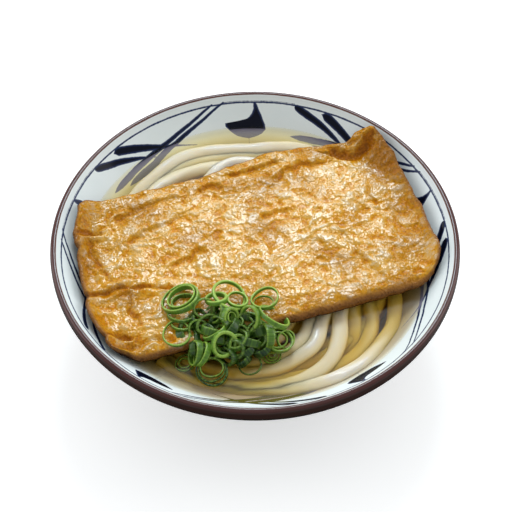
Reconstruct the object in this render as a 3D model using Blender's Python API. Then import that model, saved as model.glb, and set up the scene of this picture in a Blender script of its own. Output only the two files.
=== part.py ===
"""Bowl of udon noodles in clear broth, with a large simmered fried-tofu sheet and sliced green onion.

Metres, +Z up. The origin is the centre of the foot ring, on the table; +Y points to the back of the bowl.
Every piece is a separate closed solid, and neighbours keep CLEARANCE to each other.
"""

import math

import bmesh
import bpy
from mathutils import Matrix, Vector, noise

# Bowl: a flared seven-sun noodle bowl, turned about Z.
BOWL_HEIGHT = 0.070
RIM_RADIUS = 0.106
LIP_RADIUS = 0.0019
MOUTH_RADIUS = 0.1035
FLOOR_HEIGHT = 0.0145
WALL_POWER = 2.2
WALL_THICKNESS = 0.0062
SHOULDER_RADIUS = 0.012
SHOULDER_TURN = math.radians(50)
FOOT_RADIUS = 0.038
FOOT_LAND = 0.0030
FOOT_RECESS = 0.0070
BOWL_SEGMENTS = 48

# Contents.
CLEARANCE = 0.0003
BROTH_LEVEL = 0.0556
NOODLE_PITCH = 0.0085
NOODLE_EDGE_RADIUS = 0.081
NOODLE_CROWN = 0.0541
NOODLE_RELIEF = 0.0024
NOODLE_ARMS = 3
NOODLE_GAP = 0.0020
NOODLE_LIFT = 0.0040
ISLAND_CENTRE = Vector((-0.009, 0.066))
ISLAND_SIZE = Vector((0.015, 0.0065))
ISLAND_CROWN = 0.0574

# Fried tofu: its plan is set out along its own length and width.
TOFU_CENTRE = Vector((-0.0015, 0.0060))
TOFU_TURN = math.radians(20.3)
TOFU_HALF_LENGTH = 0.0848
TOFU_FRONT_WIDTH = 0.0548
TOFU_BACK_WIDTH = 0.0515
TOFU_SKEW = 0.0045
TOFU_LEFT_BULGE = 0.0080
TOFU_RIGHT_BULGE = 0.0063
TOFU_EDGE_WAVE = 0.0018
TOFU_WAVE_LENGTH = 0.085
TOFU_CORNER_CUT = 0.0030
TOFU_THICKNESS = 0.0080
TOFU_CORNER_THICKNESS = 0.0050
TOFU_MIDDLE_HEIGHT = 0.0592
TOFU_TILT = 0.0008
TOFU_WRINKLE = 0.0012
TOFU_CURL = 0.0010
TOFU_COLUMNS = 24
TOFU_ROWS = 14

# Sliced green onion: rings piled against the front edge of the tofu.
PILE_CENTRE = Vector((-0.0170, -0.0492))
PILE_HALF_LENGTH = 0.0330
PILE_HALF_WIDTH = 0.0270
PILE_BASE = BROTH_LEVEL + CLEARANCE
PILE_CROWN = 0.0725
RING_COUNT = 13
RING_SPREAD = 0.94
RING_WALL = 0.0012
RING_LENGTH = 0.0030
RING_SQUASH = 0.85
RING_SIDES = 8
GOLDEN_ANGLE = math.radians(137.508)


def clear_scene():
    """Remove every object that the startup file holds."""
    for obj in list(bpy.data.objects):
        bpy.data.objects.remove(obj)


def material(name, colour, roughness):
    """A Principled material of one colour."""
    made = bpy.data.materials.new(name)
    made.use_nodes = True
    shader = made.node_tree.nodes["Principled BSDF"]
    shader.inputs["Base Color"].default_value = (*colour, 1.0)
    shader.inputs["Roughness"].default_value = roughness
    shader.inputs["Metallic"].default_value = 0.0
    return made


def mesh_object(name, points, faces, finish=None):
    """An object of these points and faces, shaded smooth, with its faces pointing outwards.

    Quads are split the same way each time, so a piece and its larger copy stay parallel.
    """
    mesh = bpy.data.meshes.new(name)
    mesh.from_pydata([tuple(p) for p in points], [], faces)
    work = bmesh.new()
    work.from_mesh(mesh)
    bmesh.ops.recalc_face_normals(work, faces=work.faces)
    bmesh.ops.triangulate(work, faces=work.faces, quad_method="FIXED")
    work.to_mesh(mesh)
    work.free()
    mesh.shade_smooth()
    mesh.set_sharp_from_angle(angle=math.radians(50))
    obj = bpy.data.objects.new(name, mesh)
    bpy.context.scene.collection.objects.link(obj)
    if finish is not None:
        mesh.materials.append(finish)
    return obj


def cut(obj, cutter, join_first=False):
    """Take a cutter out of obj, first joining the shells of obj that run into each other if asked."""
    cutter.hide_render = True
    cutter.display_type = "WIRE"
    step = obj.modifiers.new(cutter.name, "BOOLEAN")
    step.operation = "DIFFERENCE"
    step.solver = "EXACT"
    step.use_self = join_first
    step.object = cutter


def turned(name, profile, segments, finish=None):
    """Revolve (radius, height) points about Z. The first and last points lie on the axis."""
    points = [(0, 0, profile[0][1]), (0, 0, profile[-1][1])]
    for radius, height in profile[1:-1]:
        for i in range(segments):
            angle = math.tau * i / segments
            points.append((radius * math.cos(angle), radius * math.sin(angle), height))
    faces = []
    rings = len(profile) - 2
    for i in range(segments):
        j = (i + 1) % segments
        faces.append((0, 2 + i, 2 + j))
        for k in range(rings - 1):
            a, b = 2 + k * segments, 2 + (k + 1) * segments
            faces.append((a + i, b + i, b + j, a + j))
        last = 2 + (rings - 1) * segments
        faces.append((1, last + j, last + i))
    return mesh_object(name, points, faces, finish)


def wall_height(radius):
    """Height of the bowl's inner surface at this radius."""
    return FLOOR_HEIGHT + (BOWL_HEIGHT - FLOOR_HEIGHT) * (radius / MOUTH_RADIUS) ** WALL_POWER


def wall_slope(radius):
    """Slope angle of the bowl's inner surface at this radius."""
    share = (radius / MOUTH_RADIUS) ** (WALL_POWER - 1)
    return math.atan(WALL_POWER * (BOWL_HEIGHT - FLOOR_HEIGHT) / MOUTH_RADIUS * share)


def offset_wall(radius, distance):
    """Point at this distance outside the inner surface (inside it if negative)."""
    slope = wall_slope(radius)
    return (radius + distance * math.sin(slope), wall_height(radius) - distance * math.cos(slope))


def arc(centre, radius, start, end, steps):
    """Points of a circular arc in the (radius, height) plane."""
    angles = [start + (end - start) * i / steps for i in range(steps + 1)]
    return [(centre[0] + radius * math.cos(a), centre[1] + radius * math.sin(a)) for a in angles]


def bowl_profile():
    """Inner wall, rounded lip, steep shoulder, offset outer wall and foot ring."""
    inner = [(0.0, FLOOR_HEIGHT)]
    inner += [(r, wall_height(r)) for r in (0.026, 0.046, 0.062, 0.075, 0.086, 0.095)]
    lip_centre = (RIM_RADIUS - LIP_RADIUS, BOWL_HEIGHT - LIP_RADIUS)
    lip = arc(lip_centre, LIP_RADIUS, math.radians(150), 0.0, 5)
    shoulder_centre = (RIM_RADIUS - SHOULDER_RADIUS, BOWL_HEIGHT - 0.0035)
    shoulder = arc(shoulder_centre, SHOULDER_RADIUS, 0.0, -SHOULDER_TURN, 3)
    outer = [offset_wall(r, WALL_THICKNESS) for r in (0.089, 0.076, 0.062, 0.048, 0.038)]
    foot = [
        (FOOT_RADIUS + 0.0008, 0.0110),
        (FOOT_RADIUS, 0.0008),
        (FOOT_RADIUS - 0.0007, 0.0),
        (FOOT_RADIUS - FOOT_LAND, 0.0),
        (FOOT_RADIUS - FOOT_LAND - 0.0015, FOOT_RECESS),
        (0.0, FOOT_RECESS),
    ]
    return inner + lip + shoulder + outer + foot


def broth_block(finish):
    """The liquid before the noodles and the tofu displace it: a plug of the bowl up to the level."""
    edge = MOUTH_RADIUS * (
        (BROTH_LEVEL - FLOOR_HEIGHT) / (BOWL_HEIGHT - FLOOR_HEIGHT)
    ) ** (1 / WALL_POWER)
    profile = [(0.0, FLOOR_HEIGHT + CLEARANCE)]
    profile += [offset_wall(r, -CLEARANCE) for r in (0.026, 0.046, 0.062, 0.075, 0.084)]
    profile += [(edge - 2 * CLEARANCE, BROTH_LEVEL), (0.0, BROTH_LEVEL)]
    return turned("broth", profile, BOWL_SEGMENTS, finish)


def noodle_outline(angle):
    """Uneven radius of the noodle bundle's edge."""
    wave = 0.0018 * math.sin(2 * angle + 0.6) + 0.0012 * math.sin(5 * angle)
    return NOODLE_EDGE_RADIUS + wave


def noodle_top(radius, angle):
    """Top of the bundle: ridges of strands that swirl round the bowl, and one strand end above the broth."""
    ridge = math.cos(math.tau * radius / NOODLE_PITCH - NOODLE_ARMS * angle)
    fall = 0.0022 * (radius / NOODLE_EDGE_RADIUS) ** 4
    height = NOODLE_CROWN - fall - NOODLE_RELIEF * 0.5 * (1 - ridge) * min(1, radius / 0.02)
    place = Vector((radius * math.cos(angle), radius * math.sin(angle))) - ISLAND_CENTRE
    reach = (place.x / ISLAND_SIZE.x) ** 2 + (place.y / ISLAND_SIZE.y) ** 2
    if reach < 1:
        height += (ISLAND_CROWN - height) * math.sqrt(1 - reach)
    return height


def noodle_bundle(name, growth, finish=None):
    """The noodles as one solid. Growth makes the larger copy that the broth is cut with."""
    segments, rings, base_rings = 36, 19, 3
    points = [(0, 0, noodle_top(0, 0) + growth), (0, 0, wall_height(0) + NOODLE_LIFT - growth)]
    for k in range(1, rings + 1):
        for i in range(segments):
            angle = math.tau * i / segments
            radius = noodle_outline(angle) * k / rings
            height = noodle_top(radius, angle)
            radius += 2 * growth * (k == rings)
            points.append((radius * math.cos(angle), radius * math.sin(angle), height + growth))
    for k in range(base_rings, 0, -1):
        for i in range(segments):
            angle = math.tau * i / segments
            share = (k / base_rings) ** 0.8
            radius = (noodle_outline(angle) - 0.004) * share
            height = wall_height(radius) + NOODLE_GAP + (NOODLE_LIFT - NOODLE_GAP) * (1 - share)
            radius += 2 * growth * share
            points.append((radius * math.cos(angle), radius * math.sin(angle), height - growth))
    faces = []
    for i in range(segments):
        j = (i + 1) % segments
        faces.append((0, 2 + i, 2 + j))
        for k in range(rings + base_rings - 1):
            a, b = 2 + k * segments, 2 + (k + 1) * segments
            faces.append((a + i, b + i, b + j, a + j))
        last = 2 + (rings + base_rings - 1) * segments
        faces.append((1, last + j, last + i))
    return mesh_object(name, points, faces, finish)


def tofu_plan(s, t):
    """Plan position of the sheet at s along its length and t across it, each from -1 to 1."""
    bulge = TOFU_RIGHT_BULGE if s > 0 else TOFU_LEFT_BULGE - 0.002 * t
    cut_in = TOFU_CORNER_CUT * (1 - 0.4 * s) * (s * t) ** 8 * (t < 0)
    along = s * (TOFU_HALF_LENGTH + bulge * s * s * (1 - t * t) - cut_in)
    along += TOFU_SKEW * t * 0.5 * (1 - s) + 0.0006 * math.sin(9 * t + 1)
    wave = TOFU_EDGE_WAVE * math.cos(math.tau * (along - 0.038) / TOFU_WAVE_LENGTH)
    width = TOFU_BACK_WIDTH + wave if t > 0 else TOFU_FRONT_WIDTH - 0.7 * cut_in
    across = t * width
    c, n = math.cos(TOFU_TURN), math.sin(TOFU_TURN)
    return TOFU_CENTRE + Vector((along * c - across * n, along * n + across * c))


def tofu_thickness(s, t):
    """Thickness of the sheet: thinner at its corners."""
    return TOFU_THICKNESS + (TOFU_CORNER_THICKNESS - TOFU_THICKNESS) * abs(s * t) ** 3


def tofu_middle(s, t):
    """Height of the sheet's middle: it lies on the noodles, its ends ride up the wall, one corner curls."""
    radius = tofu_plan(s, t).length
    rest = TOFU_MIDDLE_HEIGHT - TOFU_TILT * t
    lean = wall_height(radius) + 0.0014 + 0.4 * tofu_thickness(s, t) / math.cos(wall_slope(radius))
    height = 0.5 * (rest + lean + math.sqrt((rest - lean) ** 2 + 0.0015**2))
    return height + TOFU_CURL * max(0.0, s) ** 6 * max(0.0, t) ** 6


def tofu_sheet(name, growth, finish=None, drop=0.0):
    """The fried tofu as one solid with rounded edges and a wrinkled skin. Drop lowers its underside."""
    columns, rows = TOFU_COLUMNS, TOFU_ROWS

    def spread(i, count):
        """Even steps that close up towards the edges."""
        share = 2 * i / count - 1
        return math.copysign(1 - (1 - abs(share)) ** 1.15, share)

    def point(i, j, side):
        s, t = spread(i, columns), spread(j, rows)
        plan = tofu_plan(s, t)
        edge = min(1 - abs(s), 1 - abs(t))
        rounding = math.sqrt(max(0.0, 1 - (1 - min(1.0, edge / 0.10)) ** 2))
        half = 0.5 * tofu_thickness(s, t) * (0.35 + 0.65 * rounding) + growth
        wrinkle = TOFU_WRINKLE * rounding * noise.noise(Vector((plan.x * 90, plan.y * 90, 3.0)))
        outwards = (plan - TOFU_CENTRE).normalized() * growth
        height = tofu_middle(s, t) + side * half + (wrinkle if side > 0 else -drop)
        return (plan.x + outwards.x, plan.y + outwards.y, height)

    top = [point(i, j, 1) for j in range(rows + 1) for i in range(columns + 1)]
    bottom = [point(i, j, -1) for j in range(rows + 1) for i in range(columns + 1)]
    width, count = columns + 1, len(top)
    faces = []
    for j in range(rows):
        for i in range(columns):
            a = j * width + i
            faces.append((a, a + 1, a + width + 1, a + width))
            faces.append((count + a + width, count + a + width + 1, count + a + 1, count + a))
    rim = [i for i in range(columns)]
    rim += [j * width + columns for j in range(rows)]
    rim += [rows * width + i for i in range(columns, 0, -1)]
    rim += [j * width for j in range(rows, 0, -1)]
    for a, b in zip(rim, rim[1:] + rim[:1]):
        faces.append((a, count + a, count + b, b))
    return mesh_object(name, top + bottom, faces, finish)


def add_ring(points, faces, place, radius, length, lean, turn):
    """Add one slice to the pile: a short tube, oval where the stalk was cut on the slant."""
    pose = Matrix.Translation(place) @ Matrix.Rotation(turn, 4, "Z") @ Matrix.Rotation(lean, 4, "X")
    first, n = len(points), RING_SIDES
    for height in (-0.5 * length, 0.5 * length):
        for size in (radius - RING_WALL, radius):
            for i in range(n):
                angle = math.tau * i / n
                across = size * RING_SQUASH * math.sin(angle)
                points.append(pose @ Vector((size * math.cos(angle), across, height)))
    for i in range(n):
        j = (i + 1) % n
        for a, b, c, d in ((0, 0, 1, 1), (2, 3, 3, 2), (1, 1, 3, 3), (0, 2, 2, 0)):
            corners = ((a, i), (b, j), (c, j), (d, i)) if a == b else ((a, i), (b, i), (c, j), (d, j))
            faces.append([first + layer * n + k for layer, k in corners])


def pile_height(share):
    """Height of the onion pile's surface at this share of its plan radius."""
    return PILE_BASE + (PILE_CROWN - PILE_BASE) * (1 - share**2) ** 0.6


def onion_pile(finish):
    """The heap of sliced onion: an uneven mound with rings standing out of it."""
    segments, rings = 20, 6
    points = [(*PILE_CENTRE, PILE_CROWN), (*PILE_CENTRE, PILE_BASE)]
    for k in range(1, rings + 1):
        share = k / rings
        for i in range(segments):
            angle = math.tau * i / segments
            swell = 1 + 0.10 * math.sin(3 * angle + 1) + 0.05 * math.sin(7 * angle)
            x = PILE_CENTRE.x + PILE_HALF_LENGTH * share * swell * math.cos(angle)
            y = PILE_CENTRE.y + PILE_HALF_WIDTH * share * swell * math.sin(angle)
            bump = 0.0012 * noise.noise(Vector((x * 180, y * 180, 7.0))) * (share < 1)
            points.append((x, y, pile_height(share) + bump + CLEARANCE))
    faces = []
    for i in range(segments):
        j = (i + 1) % segments
        faces.append((0, 2 + i, 2 + j))
        for k in range(rings - 1):
            a, b = 2 + k * segments, 2 + (k + 1) * segments
            faces.append((a + i, b + i, b + j, a + j))
        last = 2 + (rings - 1) * segments
        faces.append((1, last + j, last + i))
    for k in range(RING_COUNT):
        share = RING_SPREAD * math.sqrt((k + 0.6) / RING_COUNT)
        angle = k * GOLDEN_ANGLE
        radius = 0.0062 + 0.0014 * math.sin(2.1 * k) ** 2
        lean = math.radians(12 + 40 * share)
        reach = 0.5 * RING_LENGTH * math.cos(lean) + radius * math.sin(lean)
        height = max(pile_height(share) - 0.0010, PILE_BASE + reach)
        x = PILE_CENTRE.x + PILE_HALF_LENGTH * share * math.cos(angle)
        y = PILE_CENTRE.y + PILE_HALF_WIDTH * share * math.sin(angle)
        add_ring(points, faces, Vector((x, y, height)), radius, RING_LENGTH, lean, angle + math.pi / 2)
    return mesh_object("green_onion", points, faces, finish)


def build():
    """Make the five pieces and cut each clear of its neighbours."""
    clear_scene()
    glaze = material("porcelain_glaze", (0.76, 0.80, 0.79), 0.12)
    broth_finish = material("clear_broth", (0.62, 0.45, 0.17), 0.05)
    noodle_finish = material("wheat_noodle", (0.86, 0.78, 0.58), 0.30)
    tofu_finish = material("simmered_fried_tofu", (0.64, 0.37, 0.09), 0.35)
    onion_finish = material("sliced_green_onion", (0.20, 0.38, 0.06), 0.40)

    turned("bowl", bowl_profile(), BOWL_SEGMENTS, glaze)
    noodle_bundle("noodles", 0.0, noodle_finish)
    tofu_sheet("fried_tofu", 0.0, tofu_finish)

    noodle_cutter = noodle_bundle("noodle_cutter", CLEARANCE)
    tofu_cutter = tofu_sheet("tofu_cutter", CLEARANCE)
    broth = broth_block(broth_finish)
    cut(broth, tofu_cutter)
    cut(broth, noodle_cutter)

    pile_cutter = tofu_sheet("pile_cutter", CLEARANCE, drop=0.02)
    cut(onion_pile(onion_finish), pile_cutter, join_first=True)


build()
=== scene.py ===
"""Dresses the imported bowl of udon: glazed stoneware bowl, clear broth, wheat noodles, simmered fried tofu
and sliced green onion.

Sizes in the classes are millimetres and angles are degrees, unless a name says otherwise. Meshes are in
metres. +Y points to the back of the bowl and +X to the diner's right, as in the solids.
"""

import logging
import math
import random
from collections.abc import Callable, Iterable, Sequence
from dataclasses import dataclass, field
from functools import partial

import bmesh
import bpy
import numpy as np
from mathutils import Euler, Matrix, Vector

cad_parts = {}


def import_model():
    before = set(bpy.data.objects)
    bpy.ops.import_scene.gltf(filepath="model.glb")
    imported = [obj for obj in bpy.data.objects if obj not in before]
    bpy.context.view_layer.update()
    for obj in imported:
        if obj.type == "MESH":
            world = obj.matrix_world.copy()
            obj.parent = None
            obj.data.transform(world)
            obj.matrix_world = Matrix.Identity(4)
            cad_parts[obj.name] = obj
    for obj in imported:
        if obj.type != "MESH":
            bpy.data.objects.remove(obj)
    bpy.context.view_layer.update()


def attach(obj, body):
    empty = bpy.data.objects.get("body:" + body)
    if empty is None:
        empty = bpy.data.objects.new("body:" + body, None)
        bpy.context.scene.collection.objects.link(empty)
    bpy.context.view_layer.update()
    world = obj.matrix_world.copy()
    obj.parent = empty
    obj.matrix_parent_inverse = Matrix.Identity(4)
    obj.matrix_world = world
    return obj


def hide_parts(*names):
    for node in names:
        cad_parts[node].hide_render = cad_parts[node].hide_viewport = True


LOG = logging.getLogger("udon_bowl")
MM = 0.001
BODY = "root"

Socket = bpy.types.NodeSocket
Wire = bpy.types.Node | bpy.types.NodeSocket
AddNode = Callable[..., bpy.types.Node]


def linear(code: str) -> tuple[float, float, float, float]:
    """Turn an sRGB hex colour into linear light.

    Args:
        code: Six hex digits.

    Returns:
        Linear red, green, blue and an alpha of 1.
    """
    shares = [int(code[i : i + 2], 16) / 255 for i in (0, 2, 4)]
    red, green, blue = (c / 12.92 if c <= 0.04045 else ((c + 0.055) / 1.055) ** 2.4 for c in shares)
    return (red, green, blue, 1.0)


def add_node(
    tree: bpy.types.NodeTree,
    kind: str,
    inputs: dict[str | int, object] | None = None,
    **settings: object,
) -> bpy.types.Node:
    """Add one node with its settings, values and links.

    Args:
        tree: The material's or the geometry's node tree.
        kind: The node's type name, without the ShaderNode that most begin with.
        inputs: A value, a socket, or a node whose first output in use is meant, for each input.
        **settings: The node's own properties.

    Returns:
        The new node.
    """
    whole = kind.startswith(("GeometryNode", "NodeGroup"))
    node = tree.nodes.new(kind if whole else "ShaderNode" + kind)
    for name, value in settings.items():
        setattr(node, name, value)
    for key, value in (inputs or {}).items():
        if isinstance(value, bpy.types.Node):
            value = next(output for output in value.outputs if output.enabled)
        if isinstance(value, Socket):
            tree.links.new(value, node.inputs[key])
        else:
            node.inputs[key].default_value = value
    return node


def set_curve(node: bpy.types.Node, points: Iterable[tuple[float, float]]) -> bpy.types.Node:
    """Give a float curve node straight pieces through these points.

    Args:
        node: The float curve node.
        points: Rising x values from 0 to 1, each with its y value from 0 to 1.

    Returns:
        The same node.
    """
    node.mapping.extend = "HORIZONTAL"
    line = node.mapping.curves[0]
    wanted = list(points)
    while len(line.points) < len(wanted):
        line.points.new(0.5, 0.5)
    for spot, place in zip(line.points, wanted):
        spot.location = place
        spot.handle_type = "VECTOR"
    node.mapping.update()
    return node


def set_ramp(node: bpy.types.Node, stops: Iterable[tuple[float, str]]) -> bpy.types.Node:
    """Give a colour ramp node these stops.

    Args:
        node: The colour ramp node.
        stops: Each stop's place and hex colour.

    Returns:
        The same node.
    """
    ramp = node.color_ramp
    wanted = list(stops)
    while len(ramp.elements) < len(wanted):
        ramp.elements.new(0.5)
    for element, (place, code) in zip(ramp.elements, wanted):
        element.position = place
        element.color = linear(code)
    return node


def new_material(name: str) -> tuple[bpy.types.Material, AddNode]:
    """Make an empty node material.

    Args:
        name: What the real finish is called.

    Returns:
        The material, and add_node for its tree.
    """
    material = bpy.data.materials.new(name)
    material.use_nodes = True
    material.node_tree.nodes.clear()
    return material, partial(add_node, material.node_tree)


def mesh_piece(
    name: str,
    places: np.ndarray,
    faces: Sequence[Sequence[int]],
    material: bpy.types.Material,
    marks: dict[str, np.ndarray] | None = None,
) -> bpy.types.Object:
    """Make a smooth mesh object.

    Args:
        name: The piece's name.
        places: Vertex places in millimetres, one row each.
        faces: Corner numbers of each face.
        material: The piece's finish.
        marks: Numbers stored on the vertices for the finish to read.

    Returns:
        The piece.
    """
    mesh = bpy.data.meshes.new(name)
    mesh.from_pydata((places * MM).tolist(), [], faces)
    for mark, values in (marks or {}).items():
        layer = mesh.attributes.new(mark, "FLOAT", "POINT")
        layer.data.foreach_set("value", values.astype(np.float32))
    mesh.shade_smooth()
    mesh.validate()
    mesh.materials.append(material)
    piece = bpy.data.objects.new(name, mesh)
    bpy.context.scene.collection.objects.link(piece)
    return piece


def face_outwards(piece: bpy.types.Object) -> None:
    """Turn a closed piece's faces outwards.

    Args:
        piece: The mesh object.
    """
    work = bmesh.new()
    work.from_mesh(piece.data)
    bmesh.ops.recalc_face_normals(work, faces=work.faces)
    work.to_mesh(piece.data)
    work.free()


def turned_piece(
    name: str,
    line: Sequence[tuple[float, float]],
    poles: tuple[float, float],
    segments: int,
    material: bpy.types.Material,
    uneven: np.ndarray | float = 1.0,
    run: np.ndarray | None = None,
) -> bpy.types.Object:
    """Turn a profile about the bowl's middle into a closed piece.

    Args:
        name: The piece's name.
        line: Radius and height of each ring.
        poles: Heights of the middle before the first ring and after the last.
        segments: Vertices in each ring.
        material: The piece's finish.
        uneven: Share of its radius at which each vertex of each ring lies.
        run: A number for each ring, stored on its vertices as the mark run.

    Returns:
        The piece, its faces outwards.
    """
    angles = np.arange(segments) * math.tau / segments
    radius, height = (values[:, None] for values in np.array(line).T)
    across = radius * uneven
    level = np.broadcast_to(height, (len(line), segments))
    rings = np.stack([across * np.cos(angles), across * np.sin(angles), level], -1)
    places = np.concatenate([[[0, 0, poles[0]]], rings.reshape(-1, 3), [[0, 0, poles[1]]]])
    faces: list[tuple[int, ...]] = []
    last = 1 + (len(line) - 1) * segments
    end = last + segments
    for i in range(segments):
        j = (i + 1) % segments
        faces += [(0, 1 + j, 1 + i), (end, last + i, last + j)]
    for low in range(1, last, segments):
        high = low + segments
        for i in range(segments):
            j = (i + 1) % segments
            faces.append((low + i, low + j, high + j, high + i))
    marks = {}
    if run is not None:
        marks["run"] = np.concatenate([[run[0]], np.repeat(run, segments), [run[-1]]])
    piece = mesh_piece(name, places, faces, material, marks)
    face_outwards(piece)
    return piece


def new_tree(name: str, numbers: dict[str, float]) -> tuple[bpy.types.NodeTree, AddNode]:
    """Make a geometry node tree that is given a shape, some numbers and a finish.

    Args:
        name: The tree's name.
        numbers: Each number's name and its usual value.

    Returns:
        The tree, and add_node for it.
    """
    tree = bpy.data.node_groups.new(name, "GeometryNodeTree")
    face = tree.interface
    face.new_socket("Geometry", in_out="INPUT", socket_type="NodeSocketGeometry")
    for title, usual in numbers.items():
        face.new_socket(title, in_out="INPUT", socket_type="NodeSocketFloat").default_value = usual
    face.new_socket("Finish", in_out="INPUT", socket_type="NodeSocketMaterial")
    face.new_socket("Geometry", in_out="OUTPUT", socket_type="NodeSocketGeometry")
    return tree, partial(add_node, tree)


def end_tree(add: AddNode, shape: Wire, finish: Socket) -> None:
    """Close a geometry node tree with a smooth, real and dressed shape.

    Args:
        add: Adds a node to the tree.
        shape: The geometry that the tree makes.
        finish: The material that it was given.
    """
    smooth = add("GeometryNodeSetShadeSmooth", {"Geometry": shape})
    real = add("GeometryNodeRealizeInstances", {0: smooth})
    dressed = add("GeometryNodeSetMaterial", {"Geometry": real, "Material": finish})
    add("NodeGroupOutput", {0: dressed})


def grown_piece(
    name: str, data: bpy.types.ID, tree: bpy.types.NodeTree, values: dict[str, object]
) -> bpy.types.Object:
    """Run a geometry node tree on some lines and keep what it makes as a plain mesh.

    Args:
        name: The piece's name.
        data: The curve or the loops of edges that the tree starts from.
        tree: The tree.
        values: Each named input's value, set by its socket's identifier.

    Returns:
        The piece, smooth and with its faces outwards.
    """
    source = bpy.data.objects.new(data.name, data)
    bpy.context.scene.collection.objects.link(source)
    modifier = source.modifiers.new(name, "NODES")
    modifier.node_group = tree
    for item in tree.interface.items_tree:
        if item.item_type == "SOCKET" and item.in_out == "INPUT" and item.name in values:
            modifier[item.identifier] = values[item.name]
    graph = bpy.context.evaluated_depsgraph_get()
    mesh = bpy.data.meshes.new_from_object(source.evaluated_get(graph))
    source.modifiers.clear()
    bpy.data.objects.remove(source)
    mesh.name = name
    piece = bpy.data.objects.new(name, mesh)
    bpy.context.scene.collection.objects.link(piece)
    face_outwards(piece)
    mesh.shade_smooth()
    return piece


class Relief:
    """Smooth random fields that give soft food its uneven surface."""

    STRIDES = (127.1, 311.7, 74.7)
    SPREAD = 43758.5453

    @classmethod
    def chance(cls, cells: np.ndarray, seed: int) -> np.ndarray:
        """Repeatable random numbers for whole-numbered cells.

        Args:
            cells: Cell numbers, in a last axis of two.
            seed: Picks the field.

        Returns:
            Numbers from 0 to 1.
        """
        mixed = cells[..., 0] * cls.STRIDES[0] + cells[..., 1] * cls.STRIDES[1] + seed * cls.STRIDES[2]
        spread = np.sin(mixed) * cls.SPREAD
        return spread - np.floor(spread)

    @classmethod
    def waves(cls, place: np.ndarray, size: float, seed: int) -> np.ndarray:
        """Gradient noise.

        Args:
            place: Places in millimetres, in a last axis of two.
            size: Width of one swelling in millimetres.
            seed: Picks the field.

        Returns:
            Heights of roughly -1 to 1.
        """
        spot = place / size
        cell = np.floor(spot)
        part = spot - cell
        blend = part**3 * (part * (part * 6 - 15) + 10)
        total = np.zeros(place.shape[:-1])
        for dx in (0, 1):
            for dy in (0, 1):
                angle = cls.chance(cell + (dx, dy), seed) * math.tau
                slope = (part[..., 0] - dx) * np.cos(angle) + (part[..., 1] - dy) * np.sin(angle)
                wx = blend[..., 0] if dx else 1 - blend[..., 0]
                wy = blend[..., 1] if dy else 1 - blend[..., 1]
                total += slope * wx * wy
        return total * 1.5

    @classmethod
    def blisters(cls, place: np.ndarray, size: float, seed: int) -> tuple[np.ndarray, np.ndarray]:
        """Cells such as the blisters of a fried skin.

        Args:
            place: Places in millimetres, in a last axis of two.
            size: Width of one cell in millimetres.
            seed: Picks the field.

        Returns:
            How far each place is from the cell's border, and the cell's own random number.
        """
        spot = place / size
        cell = np.floor(spot)
        near = np.full(place.shape[:-1], 9.0)
        second = near.copy()
        own = np.zeros_like(near)
        for dx in (-1, 0, 1):
            for dy in (-1, 0, 1):
                other = cell + (dx, dy)
                mid_x = other[..., 0] + cls.chance(other, seed)
                mid_y = other[..., 1] + cls.chance(other, seed + 17)
                away = np.hypot(spot[..., 0] - mid_x, spot[..., 1] - mid_y)
                closer = away < near
                second = np.where(closer, near, np.minimum(second, away))
                own = np.where(closer, cls.chance(other, seed + 31), own)
                near = np.where(closer, away, near)
        return second - near, own


# ---------------------------------------------------------------- bowl


@dataclass(frozen=True)
class BowlForm:
    """Sizes of the flared noodle bowl, as in its solid."""

    height: float = 70.0
    rim_radius: float = 106.0
    lip_radius: float = 1.9
    mouth_radius: float = 103.5
    floor: float = 14.5
    power: float = 2.2
    thickness: float = 6.2
    shoulder_radius: float = 12.0
    shoulder_turn: float = 50.0
    foot_radius: float = 38.0
    foot_land: float = 3.0
    foot_recess: float = 7.0
    broth_level: float = 55.6

    def wall_height(self, radius: np.ndarray | float) -> np.ndarray | float:
        """Height of the inner wall at a radius."""
        return self.floor + (self.height - self.floor) * (radius / self.mouth_radius) ** self.power

    def wall_radius(self, height: np.ndarray | float) -> np.ndarray | float:
        """Radius of the inner wall at a height."""
        return self.mouth_radius * ((height - self.floor) / (self.height - self.floor)) ** (1 / self.power)

    def wall_slope(self, radius: np.ndarray | float) -> np.ndarray | float:
        """Slope of the inner wall at a radius, in radians."""
        rise = self.power * (self.height - self.floor) / self.mouth_radius
        return np.arctan(rise * (radius / self.mouth_radius) ** (self.power - 1))

    def outside_wall(self, radius: float, distance: float) -> tuple[float, float]:
        """Point at a distance behind the inner wall.

        Args:
            radius: Radius on the inner wall.
            distance: How far behind it, or in front of it if negative.

        Returns:
            Radius and height.
        """
        slope = float(self.wall_slope(radius))
        return (
            radius + distance * math.sin(slope),
            float(self.wall_height(radius)) - distance * math.cos(slope),
        )


@dataclass(frozen=True)
class BrushStroke:
    """One stroke of underglaze blue along the wall."""

    turns: tuple[float, ...]
    heights: tuple[float, ...]
    half_widths: tuple[float, ...]


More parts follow.
